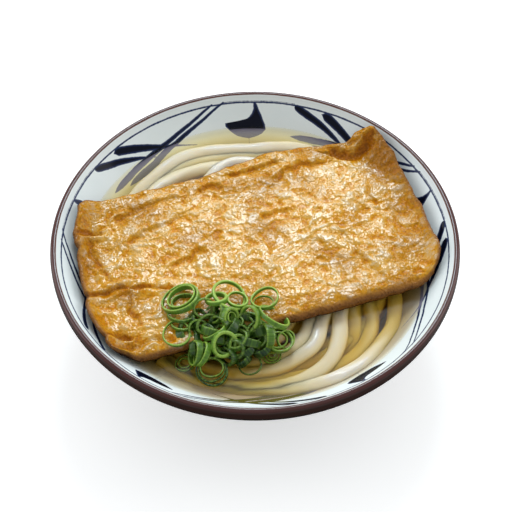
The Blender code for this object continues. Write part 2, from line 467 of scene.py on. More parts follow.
@dataclass(frozen=True)
class BrushHand:
    """How the painter's hand and the fire stray from an even pattern, and where shade and haze are painted
    under the
    broth: turns in degrees, each with a value.

    Drift is in degrees. Pressure is a share of a stroke's full width. Shortening divides the stems' height.
    Painted haze height is where the blue starts to be painted pale, a painted haze for the light that the
    cloudy broth scatters over it. Flash is how olive the blue fired. Painted shade is how much the white is
    painted darker and mauve low down, a painted shade under the broth.
    """

    drift: tuple[tuple[float, float], ...] = (
        (-180, 2.6), (-166, 2.6), (-157, 0.5), (-140, 0.5), (-125, 1.5), (-100, 0), (-64, -3.2), (-47, -3.6),
        (-42, 0.5), (-38, 1.5), (-22, 3.0), (-12, 7.0), (2, 7.5), (8, 4.0), (21, 3.8), (32, 0), (160, 0),
        (170, 2.2), (180, 2.6),
    )
    pressure: tuple[tuple[float, float], ...] = (
        (-180, 0.75), (-166, 0.6), (-158, 0.5), (-135, 0.5), (-125, 1.0), (-60, 1.0), (-44, 0.6), (-14, 0.55),
        (-4, 0.85), (8, 1.0), (160, 1.0), (170, 0.8), (180, 0.75),
    )
    shortening: tuple[tuple[float, float], ...] = (
        (-180, 1.0), (-145, 1.0), (-135, 1.8), (-112, 1.8), (-100, 1.5), (-46, 1.5), (-38, 1.0), (180, 1.0),
    )
    # painted haze: height at each turn below which the blue is painted pale, for light the broth scatters
    wash: tuple[tuple[float, float], ...] = (
        (-180, 55.8), (-75, 56.0), (-64, 56.8), (-46, 56.6), (-38, 56.2), (-8, 56.2), (4, 55.8), (180, 55.8),
    )
    flash: tuple[tuple[float, float], ...] = (
        (-180, 0), (-114, 0), (-109, 1), (-75, 1), (-70, 0), (180, 0),
    )
    # painted shade: how much the white under the broth is painted darker and mauve at each turn
    smoke: tuple[tuple[float, float], ...] = (
        (-180, 0), (-150, 0), (-135, 0.5), (-112, 0.7), (-104, 0.9), (-74, 0.9), (-64, 0.8), (-48, 0.7),
        (-30, 0.75), (-14, 0.75), (-4, 0.5), (4, 0), (180, 0),
    )


@dataclass(frozen=True)
class UnderglazeBrushwork:
    """Traditional blue-and-white brushwork: five stems with crossing grass strokes below a thin ring."""

    hand: BrushHand = field(default_factory=BrushHand)
    repeats: int = 5
    first_stem: float = 89.3
    lead: float = 12.0
    low: float = 44.0
    high: float = 68.0
    ring_height: float = 66.4
    ring_half_width: float = 0.46
    along_per_degree: float = 1.70
    wall_per_height: float = 1.335
    strokes: tuple[BrushStroke, ...] = (
        BrushStroke(
            (10.7, 11.4, 17.2, 22.2, 29.5, 33.6, 40.8, 45.6, 50.6, 53.0),
            (67.0, 66.6, 62.0, 59.0, 55.9, 54.6, 51.5, 51.0, 50.8, 50.7),
            (0.45, 0.60, 0.80, 1.05, 1.35, 1.70, 2.15, 2.10, 1.40, 0.25),
        ),
        BrushStroke(
            (14.4, 15.0, 19.0, 23.5, 31.3, 37.0, 43.1, 51.7, 57.0, 59.6),
            (66.8, 66.3, 63.5, 60.7, 57.7, 56.3, 55.0, 53.7, 53.4, 53.3),
            (0.40, 0.65, 0.80, 1.00, 1.20, 1.45, 1.75, 2.00, 1.60, 0.30),
        ),
        BrushStroke(
            (22.2, 26.6, 32.0, 35.3, 40.1, 45.2, 48.4, 50.2, 50.8),
            (51.9, 53.5, 55.9, 57.0, 59.5, 62.5, 64.3, 65.0, 65.2),
            (0.18, 0.42, 0.85, 1.40, 1.95, 2.35, 2.55, 2.00, 0.25),
        ),
        BrushStroke(
            (37.8, 41.2, 45.5, 49.9, 55.6, 58.6, 59.7),
            (54.0, 55.9, 58.2, 60.6, 63.5, 65.2, 65.7),
            (0.18, 0.60, 1.30, 1.80, 2.15, 2.05, 1.35),
        ),
    )
    stem_drops: tuple[float, ...] = (
        0.0, 3.7, 6.0, 8.0, 9.2, 9.9, 10.5, 12.1, 14.7, 17.2, 18.6, 19.6, 20.2,
    )
    stem_lefts: tuple[float, ...] = (
        1.9, 1.8, 2.6, 4.0, 6.0, 10.2, 18.6, 18.6, 16.4, 14.2, 12.0, 8.5, 5.2,
    )
    stem_rights: tuple[float, ...] = (
        0.6, -1.0, -2.1, -2.9, -3.4, -3.7, -4.0, -4.8, -5.1, -3.2, -0.8, 2.0, 4.8,
    )
    stem_span: float = 24.0
    stroke_steps: int = 28
    lifted: float = 0.002
    out_of_reach: float = 5.0

    @property
    def sector(self) -> float:
        """Degrees that one repeat takes."""
        return 360.0 / self.repeats

    @property
    def reach(self) -> float:
        """Height of the painted band."""
        return self.high - self.low


@dataclass(frozen=True)
class GlazedStoneware:
    """Stoneware fired under clear glaze, with an iron-brown rim and outside.

    The wide white inside is cool and glassy, the blue sits under it with slightly soft edges, and the
    brown breaks to a lighter line where it thins. A mauve band on the crown of the lip is a painted sheen,
    and under the broth the white carries painted shade and the blue a painted haze.
    """

    white: str = "F1F5F3"
    white_pooled: str = "E0E9E7"
    # painted shade colour of the white glaze under the broth
    white_smoked: str = "A99CA2"
    blue: str = "080C1C"
    blue_thin: str = "303C64"
    # painted haze colour of the blue under the broth
    blue_washed: str = "8A8CB6"
    blue_flashed: str = "5C5A24"
    iron: str = "170C07"
    iron_thin: str = "643A20"
    # painted sheen: mauve band on the crown of the lip, for the reflection of the lights
    iron_break: str = "502E2A"
    iron_lip: str = "27140E"
    clay: str = "A58E74"
    roughness: float = 0.10
    wobble: tuple[float, float, float] = (0.0022, 0.0022, 0.0006)
    wash_limits: tuple[float, float] = (50.0, 65.0)
    flash_heights: tuple[float, float] = (60.5, 58.5)
    # heights over which the painted shade under the broth comes in
    smoke_heights: tuple[float, float] = (57.5, 53.5)
    rim_reach: float = 20.0
    bare_run: float = 1000.0

    def make(self, work: UnderglazeBrushwork) -> bpy.types.Material:
        """Make the glaze.

        Args:
            work: The brushwork under it.

        Returns:
            The material, which reads the vertex mark run: millimetres along the profile past the inner
            edge of the brown rim.
        """
        material, add = new_material("glazed_stoneware")
        place = add("TexCoord").outputs["Object"]
        wobble = add("TexNoise", {"Vector": place, "Scale": 45.0, "Detail": 2.0, "Roughness": 0.6})
        shake = add("VectorMath", {0: wobble.outputs["Color"], 1: (0.5, 0.5, 0.5)}, operation="SUBTRACT")
        steady = add(
            "VectorMath", {0: shake, 1: self.wobble, 2: place}, operation="MULTIPLY_ADD"
        )
        parts = add("SeparateXYZ", {0: steady}).outputs
        angle = add("Math", {0: parts["Y"], 1: parts["X"]}, operation="ARCTAN2")
        circle = add("Math", {0: angle, 1: 1 / math.tau, 2: 0.5}, operation="MULTIPLY_ADD")
        drift = self.around(add, circle, work.hand.drift, -20.0, 20.0)
        even = add(
            "Math", {0: angle, 1: math.degrees(1.0) / work.sector, 2: work.repeats}, operation="MULTIPLY_ADD"
        )
        lead = add(
            "Math", {0: drift, 1: -1 / work.sector, 2: (work.lead - work.first_stem) / work.sector},
            operation="MULTIPLY_ADD",
        )
        turns = add("Math", {0: even, 1: lead}, operation="ADD")
        share = add("Math", {0: turns}, operation="FRACT")
        rise = add(
            "Math", {0: parts["Z"], 1: 1 / (work.reach * MM), 2: -work.low / work.reach},
            operation="MULTIPLY_ADD",
        )
        shortening = self.around(add, circle, work.hand.shortening, 0.0, 4.0)
        pressure = self.around(add, circle, work.hand.pressure, 0.0, 1.0)
        gap = self.brush_gap(add, work, share, rise, shortening, pressure)
        ragged = add("TexNoise", {"Vector": place, "Scale": 420.0, "Detail": 2.0, "Roughness": 0.7})
        edge = add("Math", {0: ragged, 1: 0.5, 2: gap}, operation="MULTIPLY_ADD")
        painted = add(
            "MapRange", {"Value": edge, "From Min": 0.48, "From Max": 0.06}, interpolation_type="SMOOTHSTEP"
        )
        depth = add("MapRange", {"Value": edge, "From Min": 0.25, "From Max": -0.9})
        blues = add(
            "Mix", {"Factor": depth, "A": linear(self.blue_thin), "B": linear(self.blue)}, data_type="RGBA"
        )
        # The blue under the broth is painted pale: a painted haze of the light that the cloudy broth
        # scatters.
        above = add("Math", {0: parts["Z"], 1: 1 / MM}, operation="MULTIPLY")
        wash = self.around(add, circle, work.hand.wash, *self.wash_limits)
        sunk = add("Math", {0: wash, 1: above}, operation="SUBTRACT")
        pale = set_curve(
            add("FloatCurve", {"Value": sunk}), ((0.0, 0.0), (0.25, 0.55), (0.6, 0.75), (1.0, 0.8))
        )
        washed = add("Mix", {"Factor": pale, "A": blues, "B": linear(self.blue_washed)}, data_type="RGBA")
        olive = self.around(add, circle, work.hand.flash, 0.0, 1.0)
        start, end = self.flash_heights
        wet = add(
            "MapRange", {"Value": above, "From Min": start, "From Max": end},
            interpolation_type="SMOOTHSTEP",
        )
        flash = add("Math", {0: olive, 1: wet}, operation="MULTIPLY")
        flashed = add(
            "Mix", {"Factor": flash, "A": washed, "B": linear(self.blue_flashed)}, data_type="RGBA"
        )
        cloud = add("TexNoise", {"Vector": place, "Scale": 28.0, "Detail": 3.0})
        whites = add(
            "Mix", {"Factor": cloud, "A": linear(self.white), "B": linear(self.white_pooled)},
            data_type="RGBA",
        )
        # The white is painted darker and mauve low down under the broth: painted shade.
        start, end = self.smoke_heights
        low = add(
            "MapRange", {"Value": above, "From Min": start, "From Max": end},
            interpolation_type="SMOOTHSTEP",
        )
        smoked = self.around(add, circle, work.hand.smoke, 0.0, 1.0)
        smoke = add("Math", {0: low, 1: smoked}, operation="MULTIPLY")
        fired = add("Mix", {"Factor": smoke, "A": whites, "B": linear(self.white_smoked)}, data_type="RGBA")
        inside = add("Mix", {"Factor": painted, "A": fired, "B": flashed}, data_type="RGBA")
        run = add("Attribute", attribute_name="run").outputs["Fac"]
        uneven = add("TexNoise", {"Vector": place, "Scale": 70.0, "Detail": 3.0})
        past = add("Math", {0: uneven, 1: 0.5, 2: run}, operation="MULTIPLY_ADD")
        brown = add("MapRange", {"Value": past, "From Min": 0.1, "From Max": 0.45})
        band = add("Math", {0: past, 1: 1 / self.rim_reach}, operation="MULTIPLY")
        # The iron ramp paints a mauve sheen band on the lip's crown: painted reflection of the side lights.
        irons = set_ramp(
            add("ValToRGB", {"Fac": band}),
            (
                (0.015, self.iron_thin), (0.05, self.iron_break), (0.14, self.iron_break),
                (0.21, self.iron_lip), (0.37, self.iron_lip), (0.47, self.iron),
            ),
        )
        glaze = add("Mix", {"Factor": brown, "A": inside, "B": irons}, data_type="RGBA")
        bare = add("MapRange", {"Value": run, "From Min": self.bare_run, "From Max": self.bare_run + 1})
        colour = add("Mix", {"Factor": bare, "A": glaze, "B": linear(self.clay)}, data_type="RGBA")
        reach_past = add("Math", {0: run, 1: 1 / self.rim_reach}, operation="MULTIPLY")
        glassy = set_curve(
            add("FloatCurve", {"Value": reach_past}),
            ((0.0, 0.28), (0.02, 0.75), (0.11, 0.75), (0.17, 0.35), (0.23, 0.1), (0.36, 0.05), (1.0, 0.03)),
        )
        ripple = add("Bump", {"Height": cloud, "Strength": 0.05, "Distance": 0.0015})
        shader = add(
            "BsdfPrincipled",
            {
                "Base Color": colour, "Roughness": 0.6, "IOR": 1.5, "Specular IOR Level": 0.0,
                "Coat Weight": glassy, "Coat Roughness": self.roughness, "Coat IOR": 1.5,
                "Coat Normal": ripple,
            },
        )
        add("OutputMaterial", {"Surface": shader})
        return material

    @staticmethod
    def around(
        add: AddNode,
        circle: Wire,
        pairs: Sequence[tuple[float, float]],
        low: float,
        high: float,
    ) -> Wire:
        """A value that changes round the bowl.

        Args:
            add: Adds a node to the material.
            circle: Place round the bowl, from 0 at -180 degrees to 1 at 180.
            pairs: Turns in degrees, each with its value.
            low: Lowest value the curve can give.
            high: Highest value the curve can give.

        Returns:
            The value.
        """
        line = add("FloatCurve", {"Value": circle})
        set_curve(line, [(turn / 360 + 0.5, (value - low) / (high - low)) for turn, value in pairs])
        return add("Math", {0: line, 1: high - low, 2: low}, operation="MULTIPLY_ADD")

    def brush_gap(
        self,
        add: AddNode,
        work: UnderglazeBrushwork,
        share: Wire,
        rise: Wire,
        shortening: Wire,
        pressure: Wire,
    ) -> Wire:
        """Distance in millimetres from the nearest brush mark, less than 0 inside one.

        Args:
            add: Adds a node to the material.
            work: The brushwork.
            share: Place within one repeat, from 0 to 1.
            rise: Place up the painted band, from 0 to 1.
            shortening: How much shorter the stem is here.
            pressure: How wide a stroke is here, as a share of its full width.

        Returns:
            The distance.
        """
        reach, sector = work.reach, work.sector
        ring = add("Math", {0: rise, 1: (work.ring_height - work.low) / reach}, operation="SUBTRACT")
        away = add("Math", {0: ring}, operation="ABSOLUTE")
        gap = add(
            "Math", {0: away, 1: reach * work.wall_per_height, 2: -work.ring_half_width},
            operation="MULTIPLY_ADD",
        )
        for stroke in work.strokes:
            steps = np.linspace(stroke.turns[0], stroke.turns[-1], work.stroke_steps)
            middle = np.interp(steps, stroke.turns, stroke.heights)
            half = np.interp(steps, stroke.turns, stroke.half_widths)
            tilt = np.gradient(middle * work.wall_per_height, steps * work.along_per_degree)
            tall = half * np.hypot(1, tilt) / (reach * work.wall_per_height)
            places = (steps + work.lead) / sector
            line = add("FloatCurve", {"Value": share})
            set_curve(line, zip(places, (middle - work.low) / reach))
            width = add("FloatCurve", {"Value": share})
            ends = [(places[0] - 0.004, 0.0), *zip(places, tall), (places[-1] + 0.004, 0.0)]
            set_curve(width, ends)
            off = add("Math", {0: rise, 1: line}, operation="SUBTRACT")
            size = add("Math", {0: off}, operation="ABSOLUTE")
            pressed = add("Math", {0: width, 1: pressure}, operation="MULTIPLY")
            over = add("Math", {0: size, 1: pressed}, operation="SUBTRACT")
            lean = float(np.mean(np.hypot(1, tilt)))
            reachable = add(
                "Math", {0: over, 1: reach * work.wall_per_height / lean}, operation="MULTIPLY"
            )
            unused = add("Math", {0: width, 1: work.lifted}, operation="LESS_THAN")
            cleared = add(
                "Math", {0: unused, 1: work.out_of_reach, 2: reachable}, operation="MULTIPLY_ADD"
            )
            gap = add("Math", {0: gap, 1: cleared}, operation="MINIMUM")
        return self.stem_gap(add, work, share, rise, shortening, gap)

    def stem_gap(
        self,
        add: AddNode,
        work: UnderglazeBrushwork,
        share: Wire,
        rise: Wire,
        shortening: Wire,
        gap: Wire,
    ) -> Wire:
        """Add the flared stem, whose two sides are set out by the drop below the ring.

        Args:
            add: Adds a node to the material.
            work: The brushwork.
            share: Place within one repeat, from 0 to 1.
            rise: Place up the painted band, from 0 to 1.
            shortening: How much shorter the stem is here.
            gap: The distance from the other marks.

        Returns:
            The distance from the nearest mark.
        """
        reach, span = work.reach, work.stem_span
        across = work.along_per_degree * 360.0 / work.repeats
        full = add(
            "Math",
            {
                0: rise, 1: -reach * work.wall_per_height / span,
                2: (work.ring_height - work.low) * work.wall_per_height / span,
            },
            operation="MULTIPLY_ADD",
        )
        drop = add("Math", {0: full, 1: shortening}, operation="MULTIPLY")
        drops = np.array(work.stem_drops) / span
        lefts = np.array(work.stem_lefts)
        rights = np.array(work.stem_rights)
        middle = ((lefts + rights) / 2 + work.lead * work.along_per_degree) / across
        half = (lefts - rights) / 2 / across
        line = add("FloatCurve", {"Value": drop})
        set_curve(line, zip(drops, middle))
        width = add("FloatCurve", {"Value": drop})
        set_curve(width, [*zip(drops, half), (drops[-1] + 0.006, 0.0)])
        off = add("Math", {0: share, 1: line}, operation="SUBTRACT")
        size = add("Math", {0: off}, operation="ABSOLUTE")
        over = add("Math", {0: size, 1: width}, operation="SUBTRACT")
        outside = add("Math", {0: drop, 1: -0.01}, operation="LESS_THAN")
        scaled = add("Math", {0: over, 1: across * 0.8}, operation="MULTIPLY")
        cleared = add("Math", {0: outside, 1: 20.0, 2: scaled}, operation="MULTIPLY_ADD")
        return add("Math", {0: gap, 1: cleared}, operation="MINIMUM")


@dataclass
class StonewareBowl:
    """The turned bowl with its lip, steep shoulder and foot ring."""

    form: BowlForm = field(default_factory=BowlForm)
    finish: GlazedStoneware = field(default_factory=GlazedStoneware)
    brushwork: UnderglazeBrushwork = field(default_factory=UnderglazeBrushwork)
    segments: int = 240
    inner_radii: tuple[float, float] = (2.0, 101.6)
    inner_rings: int = 54
    lip_steps: int = 12
    shoulder_drop: float = 3.5
    outer_radii: tuple[float, float] = (90.0, 38.0)
    outer_rings: int = 26
    foot_side: tuple[tuple[float, float], ...] = ((0.8, 11.0), (0.45, 7.0), (0.0, 0.9))
    foot_edges: tuple[float, float] = (0.7, 0.4)
    foot_bevel: float = 1.2
    last_ring: float = 12.0
    glaze_edge: float = 102.9
    bare_below: float = 0.6

    def profile(self) -> list[tuple[float, float]]:
        """Radius and height from the inner floor over the lip to the underside.

        Returns:
            Radius and height of each ring.
        """
        form = self.form
        radii = np.linspace(*self.inner_radii, self.inner_rings)
        inner = [(r, float(form.wall_height(r))) for r in radii]
        lip_centre, lip_height = form.rim_radius - form.lip_radius, form.height - form.lip_radius
        lip = self.arc(lip_centre, lip_height, form.lip_radius, 150, 0, self.lip_steps)
        shoulder = self.arc(
            form.rim_radius - form.shoulder_radius, form.height - self.shoulder_drop,
            form.shoulder_radius, 0, -form.shoulder_turn, 10,
        )
        radii = np.linspace(*self.outer_radii, self.outer_rings)
        outer = [form.outside_wall(r, form.thickness) for r in radii]
        return inner + lip + shoulder + outer + self.smooth_foot()

    def smooth_foot(self) -> list[tuple[float, float]]:
        """Radius and height round the foot ring and across its recess.

        Returns:
            Radius and height of each ring.
        """
        form = self.form
        outer, inner = self.foot_edges
        within = form.foot_radius - form.foot_land
        side = [(form.foot_radius + flare, height) for flare, height in self.foot_side]
        land = self.arc(form.foot_radius - outer, outer, outer, 0, -90, 3)
        inner_edge = self.arc(within + inner, inner, inner, -90, -180, 3)
        recess = [
            (within - self.foot_bevel, form.foot_recess - self.foot_bevel),
            (within - 2 * self.foot_bevel, form.foot_recess),
            (self.last_ring, form.foot_recess),
        ]
        return side + land + inner_edge + recess

    @staticmethod
    def arc(
        centre: float, height: float, radius: float, start: float, end: float, steps: int
    ) -> list[tuple[float, float]]:
        """Points on an arc of the profile.

        Args:
            centre: Radius of the arc's centre.
            height: Height of the arc's centre.
            radius: The arc's own radius.
            start: First angle.
            end: Last angle.
            steps: Number of steps.

        Returns:
            Radius and height of each point.
        """
        angles = np.radians(np.linspace(start, end, steps + 1))
        return [(centre + radius * math.cos(a), height + radius * math.sin(a)) for a in angles]

    def build(self) -> bpy.types.Object:
        """Make the bowl and mark how far each vertex lies past the rim's inner edge.

        Returns:
            The piece.
        """
        form = self.form
        line = np.array(self.profile())
        steps = np.hypot(*np.diff(line, axis=0).T)
        along = np.concatenate([[0.0], np.cumsum(steps)])
        rising = slice(self.inner_rings + self.lip_steps // 2)
        edge = float(np.interp(self.glaze_edge, line[rising, 0], along[rising]))
        bare = (line[:, 1] < self.bare_below) & (along > along.max() * 0.5)
        run = np.where(bare, 2 * self.finish.bare_run, along - edge)
        bowl = turned_piece(
            "stoneware_bowl", line, (form.floor, form.foot_recess), self.segments,
            self.finish.make(self.brushwork), run=run,
        )
        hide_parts("bowl")
        return bowl


# ---------------------------------------------------------------- broth


@dataclass(frozen=True)
class ClearDashi:
    """Clear soup stock: a still, glassy surface over a pale gold that deepens with every millimetre."""

    tint: str = "FFFBF0"
    absorbed: tuple[float, float, float, float] = (0.96, 0.83, 0.36, 1.0)
    density: float = 126.0
    roughness: float = 0.2
    sheen: tuple[float, float, float, float] = (0.15, 0.15, 0.15, 1.0)

    def make(self) -> bpy.types.Material:
        """Make the liquid. Light falls straight through it onto what is sunk.

        Returns:
            The material.
        """
        material, add = new_material("clear_dashi")
        liquid = add(
            "BsdfPrincipled",
            {
                "Base Color": linear(self.tint), "Roughness": self.roughness, "IOR": 1.333,
                "Specular Tint": self.sheen, "Transmission Weight": 1.0,
            },
        )
        clear = add("BsdfTransparent", {"Color": linear(self.tint)})
        path = add("LightPath")
        soft = add(
            "Math", {0: path.outputs["Is Shadow Ray"], 1: path.outputs["Is Diffuse Ray"]},
            operation="MAXIMUM",
        )
        surface = add("MixShader", {0: soft, 1: liquid, 2: clear})
        volume = add("VolumeAbsorption", {"Color": self.absorbed, "Density": self.density})
        add("OutputMaterial", {"Surface": surface, "Volume": volume})
        return material


@dataclass
class Broth:
    """The liquid up to its level, with a meniscus that climbs the wall."""

    form: BowlForm = field(default_factory=BowlForm)
    finish: ClearDashi = field(default_factory=ClearDashi)
    meniscus: float = 0.7
    meniscus_reach: float = 1.6
    still_to: float = 6.0
    overlap: float = 0.25
    segments: int = 192

    def build(self) -> bpy.types.Object:
        """Make the closed body of liquid, its side a little inside the glaze so that no gap shows.

        Returns:
            The piece.
        """
        form = self.form
        level = form.broth_level
        edge = form.wall_radius(level)
        surface = []
        open_rings = np.linspace(3.0, edge - self.still_to, 22)
        edge_rings = np.linspace(edge - 5.5, edge + 0.9, 18)
        for radius in (*open_rings, *edge_rings):
            climb = self.meniscus * math.exp((radius - edge) / self.meniscus_reach)
            surface.append((radius, level + min(climb, self.meniscus * 1.3)))
        side = [form.outside_wall(r, self.overlap) for r in np.linspace(edge - 0.5, 4.0, 40)]
        poles = (level, form.floor - self.overlap)
        broth = turned_piece(
            "clear_broth", surface + side, poles, self.segments, self.finish.make()
        )
        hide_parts("broth")
        return broth


# ---------------------------------------------------------------- noodles


@dataclass(frozen=True)
class BoiledWheat:
    """Boiled wheat dough: creamy and translucent, so light spreads through it and softens its edges.

    What lies deeper is painted more golden and darker, a painted tint and shade for the light that the broth
    filters, and only what stands out of the broth shines.
    """

    cream: str = "E4DCCC"
    shade: str = "DACFC0"
    steeped: str = "CEBA70"
    level: float = 55.6
    stained_under: tuple[float, float] = (-4.6, -1.2)
    film: float = 0.3
    roughness: float = 0.5

    def make(self) -> bpy.types.Material:
        """Make the noodle's skin, faintly mottled from one length to the next.

        Returns:
            The material.
        """
        material, add = new_material("boiled_wheat_noodle")
        place = add("TexCoord").outputs["Object"]
        mottle = add("TexNoise", {"Vector": place, "Scale": 60.0, "Detail": 3.0})
        colour = add(
            "Mix", {"Factor": mottle, "A": linear(self.cream), "B": linear(self.shade)}, data_type="RGBA"
        )
        skin = add("Bump", {"Height": mottle, "Strength": 0.1, "Distance": 0.001})
        # Deeper noodles are painted golden and darker: painted tint and shade for light filtered by the
        # broth.
        height = add("SeparateXYZ", {0: place}).outputs["Z"]
        deep, near_top = ((self.level + depth) * MM for depth in self.stained_under)
        near = add(
            "MapRange", {"Value": height, "From Min": deep, "From Max": near_top},
            interpolation_type="SMOOTHSTEP",
        )
        stained = add("Mix", {"Factor": near, "A": linear(self.steeped), "B": colour}, data_type="RGBA")
        clear = add(
            "MapRange",
            {"Value": height, "From Min": self.level * MM, "From Max": (self.level + self.film) * MM},
        )
        shader = add(
            "BsdfPrincipled",
            {
                "Base Color": stained, "Roughness": self.roughness, "IOR": 1.4, "Specular IOR Level": 0.05,
                "Subsurface Weight": 0.85, "Subsurface Radius": (0.0062, 0.0055, 0.0042),
                "Subsurface Scale": 1.0, "Coat Weight": clear, "Coat Roughness": 0.12, "Coat IOR": 1.4,
                "Normal": skin,
            },
        )
        add("OutputMaterial", {"Surface": shader})
        return material


@dataclass(frozen=True)
class Strand:
    """One noodle: turns and radii about the bowl's middle, with the height of its centre line."""

    turns: tuple[float, ...]
    radii: tuple[float, ...]
    heights: tuple[float, ...]
    size: float = 1.0
    steps: int = 240
    pressed: float = 1.2

    def line(self, spacing: float, form: BowlForm) -> np.ndarray:
        """Places along the centre line, which never lies nearer to the wall than a soft strand can press.

        Args:
            spacing: Distance between places.
            form: The bowl that holds the noodles.

        Returns:
            One row of x, y and z for each place.
        """
        knots = np.linspace(0, 1, len(self.turns))
        fine = np.linspace(0, 1, self.steps)
        turn = np.radians(self.smooth(fine, knots, self.turns))
        radius = self.smooth(fine, knots, self.radii)
        height = self.smooth(fine, knots, self.heights)
        radius = np.minimum(radius, form.wall_radius(height) - self.pressed)
        places = np.stack([radius * np.cos(turn), radius * np.sin(turn), height], 1)
        run = np.concatenate([[0.0], np.cumsum(np.linalg.norm(np.diff(places, axis=0), axis=1))])
        wanted = np.linspace(0, run[-1], max(4, int(run[-1] / spacing)))
        return np.stack([np.interp(wanted, run, places[:, k]) for k in range(3)], 1)

    @staticmethod
    def smooth(where: np.ndarray, knots: np.ndarray, values: Sequence[float]) -> np.ndarray:
        """Smooth curve through a few values, by cubic pieces with matched slopes.

        Args:
            where: Places wanted, from 0 to 1.
            knots: Places of the values.
            values: The values.

        Returns:
            The curve's value at each place.
        """
        heights = np.array(values, float)
        slopes = np.gradient(heights, knots)
        index = np.clip(np.searchsorted(knots, where) - 1, 0, len(knots) - 2)
        width = knots[index + 1] - knots[index]
        part = (where - knots[index]) / width
        return (
            (2 * part**3 - 3 * part**2 + 1) * heights[index]
            + (part**3 - 2 * part**2 + part) * width * slopes[index]
            + (-2 * part**3 + 3 * part**2) * heights[index + 1]
            + (part**3 - part**2) * width * slopes[index + 1]
        )


@dataclass
class NoodleNest:
    """Cut udon strands that swirl round the bowl over a smaller core of the same dough."""

    form: BowlForm = field(default_factory=BowlForm)
    finish: BoiledWheat = field(default_factory=BoiledWheat)
    width: float = 7.6
    spacing: float = 2.2
    seed: int = 7
    sunken_layers: tuple[tuple[float, float], ...] = ((45.6, 76.0), (41.5, 71.0))
    sunken_start: float = 24.0
    corner_share: float = 0.36
    twist: float = 1.1
    core_drop: float = 8.0
    core_margin: float = 8.0
    core_lift: float = 3.0
    core_segments: int = 64

    def front_strands(self) -> list[Strand]:
        """The strands that come out from under the tofu and sweep round the front."""
        return [
            Strand(
                (6, -8, -20, -32, -42, -51, -60, -70, -82, -96, -112, -128),
                (66, 72, 77, 81.8, 84.2, 85.4, 85.2, 83.8, 82, 80.4, 79, 77),
                (45, 46.4, 47.6, 48.6, 50.2, 51.9, 52.4, 51.0, 48.8, 47.4, 46.6, 46),
            ),
            Strand(
                (-12, -20, -27, -31, -36, -41, -46, -51, -55, -60, -66, -74, -84, -98),
                (58, 62.5, 66.5, 69.8, 73.3, 76, 77.6, 78.4, 78.2, 77.6, 76.4, 75, 74, 73.5),
                (45.6, 47.2, 48.3, 48.5, 48.5, 48.4, 48.1, 47.9, 47.7, 47.4, 47, 46.6, 46, 45),
            ),
            Strand(
                (-14, -24, -33.5, -37.5, -42, -47, -52, -60, -70),
                (50, 55, 60.5, 64.6, 68.2, 71.4, 73, 73.5, 73),
                (46.6, 47.8, 48.6, 48.5, 47.6, 45.6, 43.4, 42, 42),
            ),
            Strand(
                (-14, -28, -40, -50, -58, -66, -75, -86, -98, -112, -126),
                (46.5, 51, 57, 66, 73, 77, 79, 79.6, 79, 77.5, 76),
                (48, 50, 50.7, 50.8, 50.8, 50.4, 49.4, 48.2, 47.2, 46.4, 45.6),
                1.08,
            ),
            Strand(
                (-24, -38, -51, -61, -70, -80, -92, -106, -120),
                (42, 47, 53.5, 61.6, 65.2, 68.6, 70.5, 71, 71),
                (48, 50.2, 51.2, 51.7, 51.1, 49.6, 48.2, 47.4, 47),
                1.05,
            ),
            Strand(
                (-36, -50, -62, -74, -88, -104),
                (39, 45, 54, 60.5, 63.5, 64.5),
                (48, 50, 50.4, 49.6, 48.6, 48),
            ),
            Strand(
                (-50, -66, -82, -98, -114, -130),
                (34, 43, 52, 57, 59, 60),
                (48, 49.6, 49.8, 49.4, 48.8, 48),
            ),
        ]

    def back_strands(self) -> list[Strand]:
        """The strands behind the tofu, one of which lifts clear of the broth."""
        return [
            Strand(
                (176, 160, 146, 134, 128, 122.5, 117.5, 112, 107, 100, 90.5, 81.5, 74, 62, 48, 36),
                (77, 77.5, 78.5, 79.2, 80.3, 81.1, 81.3, 80.6, 79.5, 78, 77.3, 79.5, 81.2, 82, 80.5, 78),
                (47, 49.2, 50.6, 51.1, 51.4, 51.5, 51.5, 51.5, 51.5, 51.5, 51.5, 51.4, 51.1, 50.4, 49, 47),
                1.02,
            ),
            Strand(
                (152, 140, 134, 128, 122, 117, 112, 107, 100, 90, 81, 74, 62),
                (72, 75, 75.8, 76.2, 76.2, 75.8, 75, 74.4, 74, 73.2, 74, 74.6, 74),
                (46, 48, 48.8, 49.2, 49.4, 49.4, 49.4, 49.4, 49.4, 49.3, 49.2, 49, 47),
            ),
            Strand(
                (168, 152, 142, 135.5, 131, 127, 122, 117, 112, 107, 100, 90),
                (66, 69, 71.5, 72.2, 71.6, 71.4, 70.7, 69.9, 69, 68.4, 68, 68),
                (48, 50.4, 51.3, 51.5, 51.5, 51.4, 51.2, 51, 50.8, 50.3, 48.6, 47),
            ),
            Strand(
                (140, 128, 118, 112, 108, 104.5, 100.5, 95.5, 91.5, 88, 80, 68, 54),
                (52, 55, 58, 61, 64, 65.9, 66.8, 66.6, 65.8, 64.4, 62.5, 61.5, 61.5),
                (46, 48.5, 51, 52.4, 53.1, 53.5, 53.8, 53.8, 53.6, 53.3, 51.8, 49.5, 46.5),
                1.05,
            ),
            Strand(
                (172, 160, 148, 136, 124, 110),
                (76, 76.5, 76.5, 75.5, 75, 74),
                (45, 46, 46.5, 46.2, 45, 44),
            ),
        ]

    def sunken_strands(self) -> list[Strand]:
        """Strands lower in the bowl, seen dimly between the others.

        Returns:
            The strands, layer by layer.
        """
        pick = random.Random(self.seed)
        strands = []
        for height, reach in self.sunken_layers:
            radius = self.sunken_start
            while radius < reach:
                start = pick.uniform(0, 360)
                turns = tuple(start - k * 30 for k in range(pick.randint(7, 11)))
                radii = tuple(radius + pick.uniform(-1.6, 1.6) for _ in turns)
                heights = tuple(height + pick.uniform(-1.3, 1.3) for _ in turns)
                strands.append(Strand(turns, radii, heights, pick.uniform(0.94, 1.04)))
                radius += self.width
        return strands

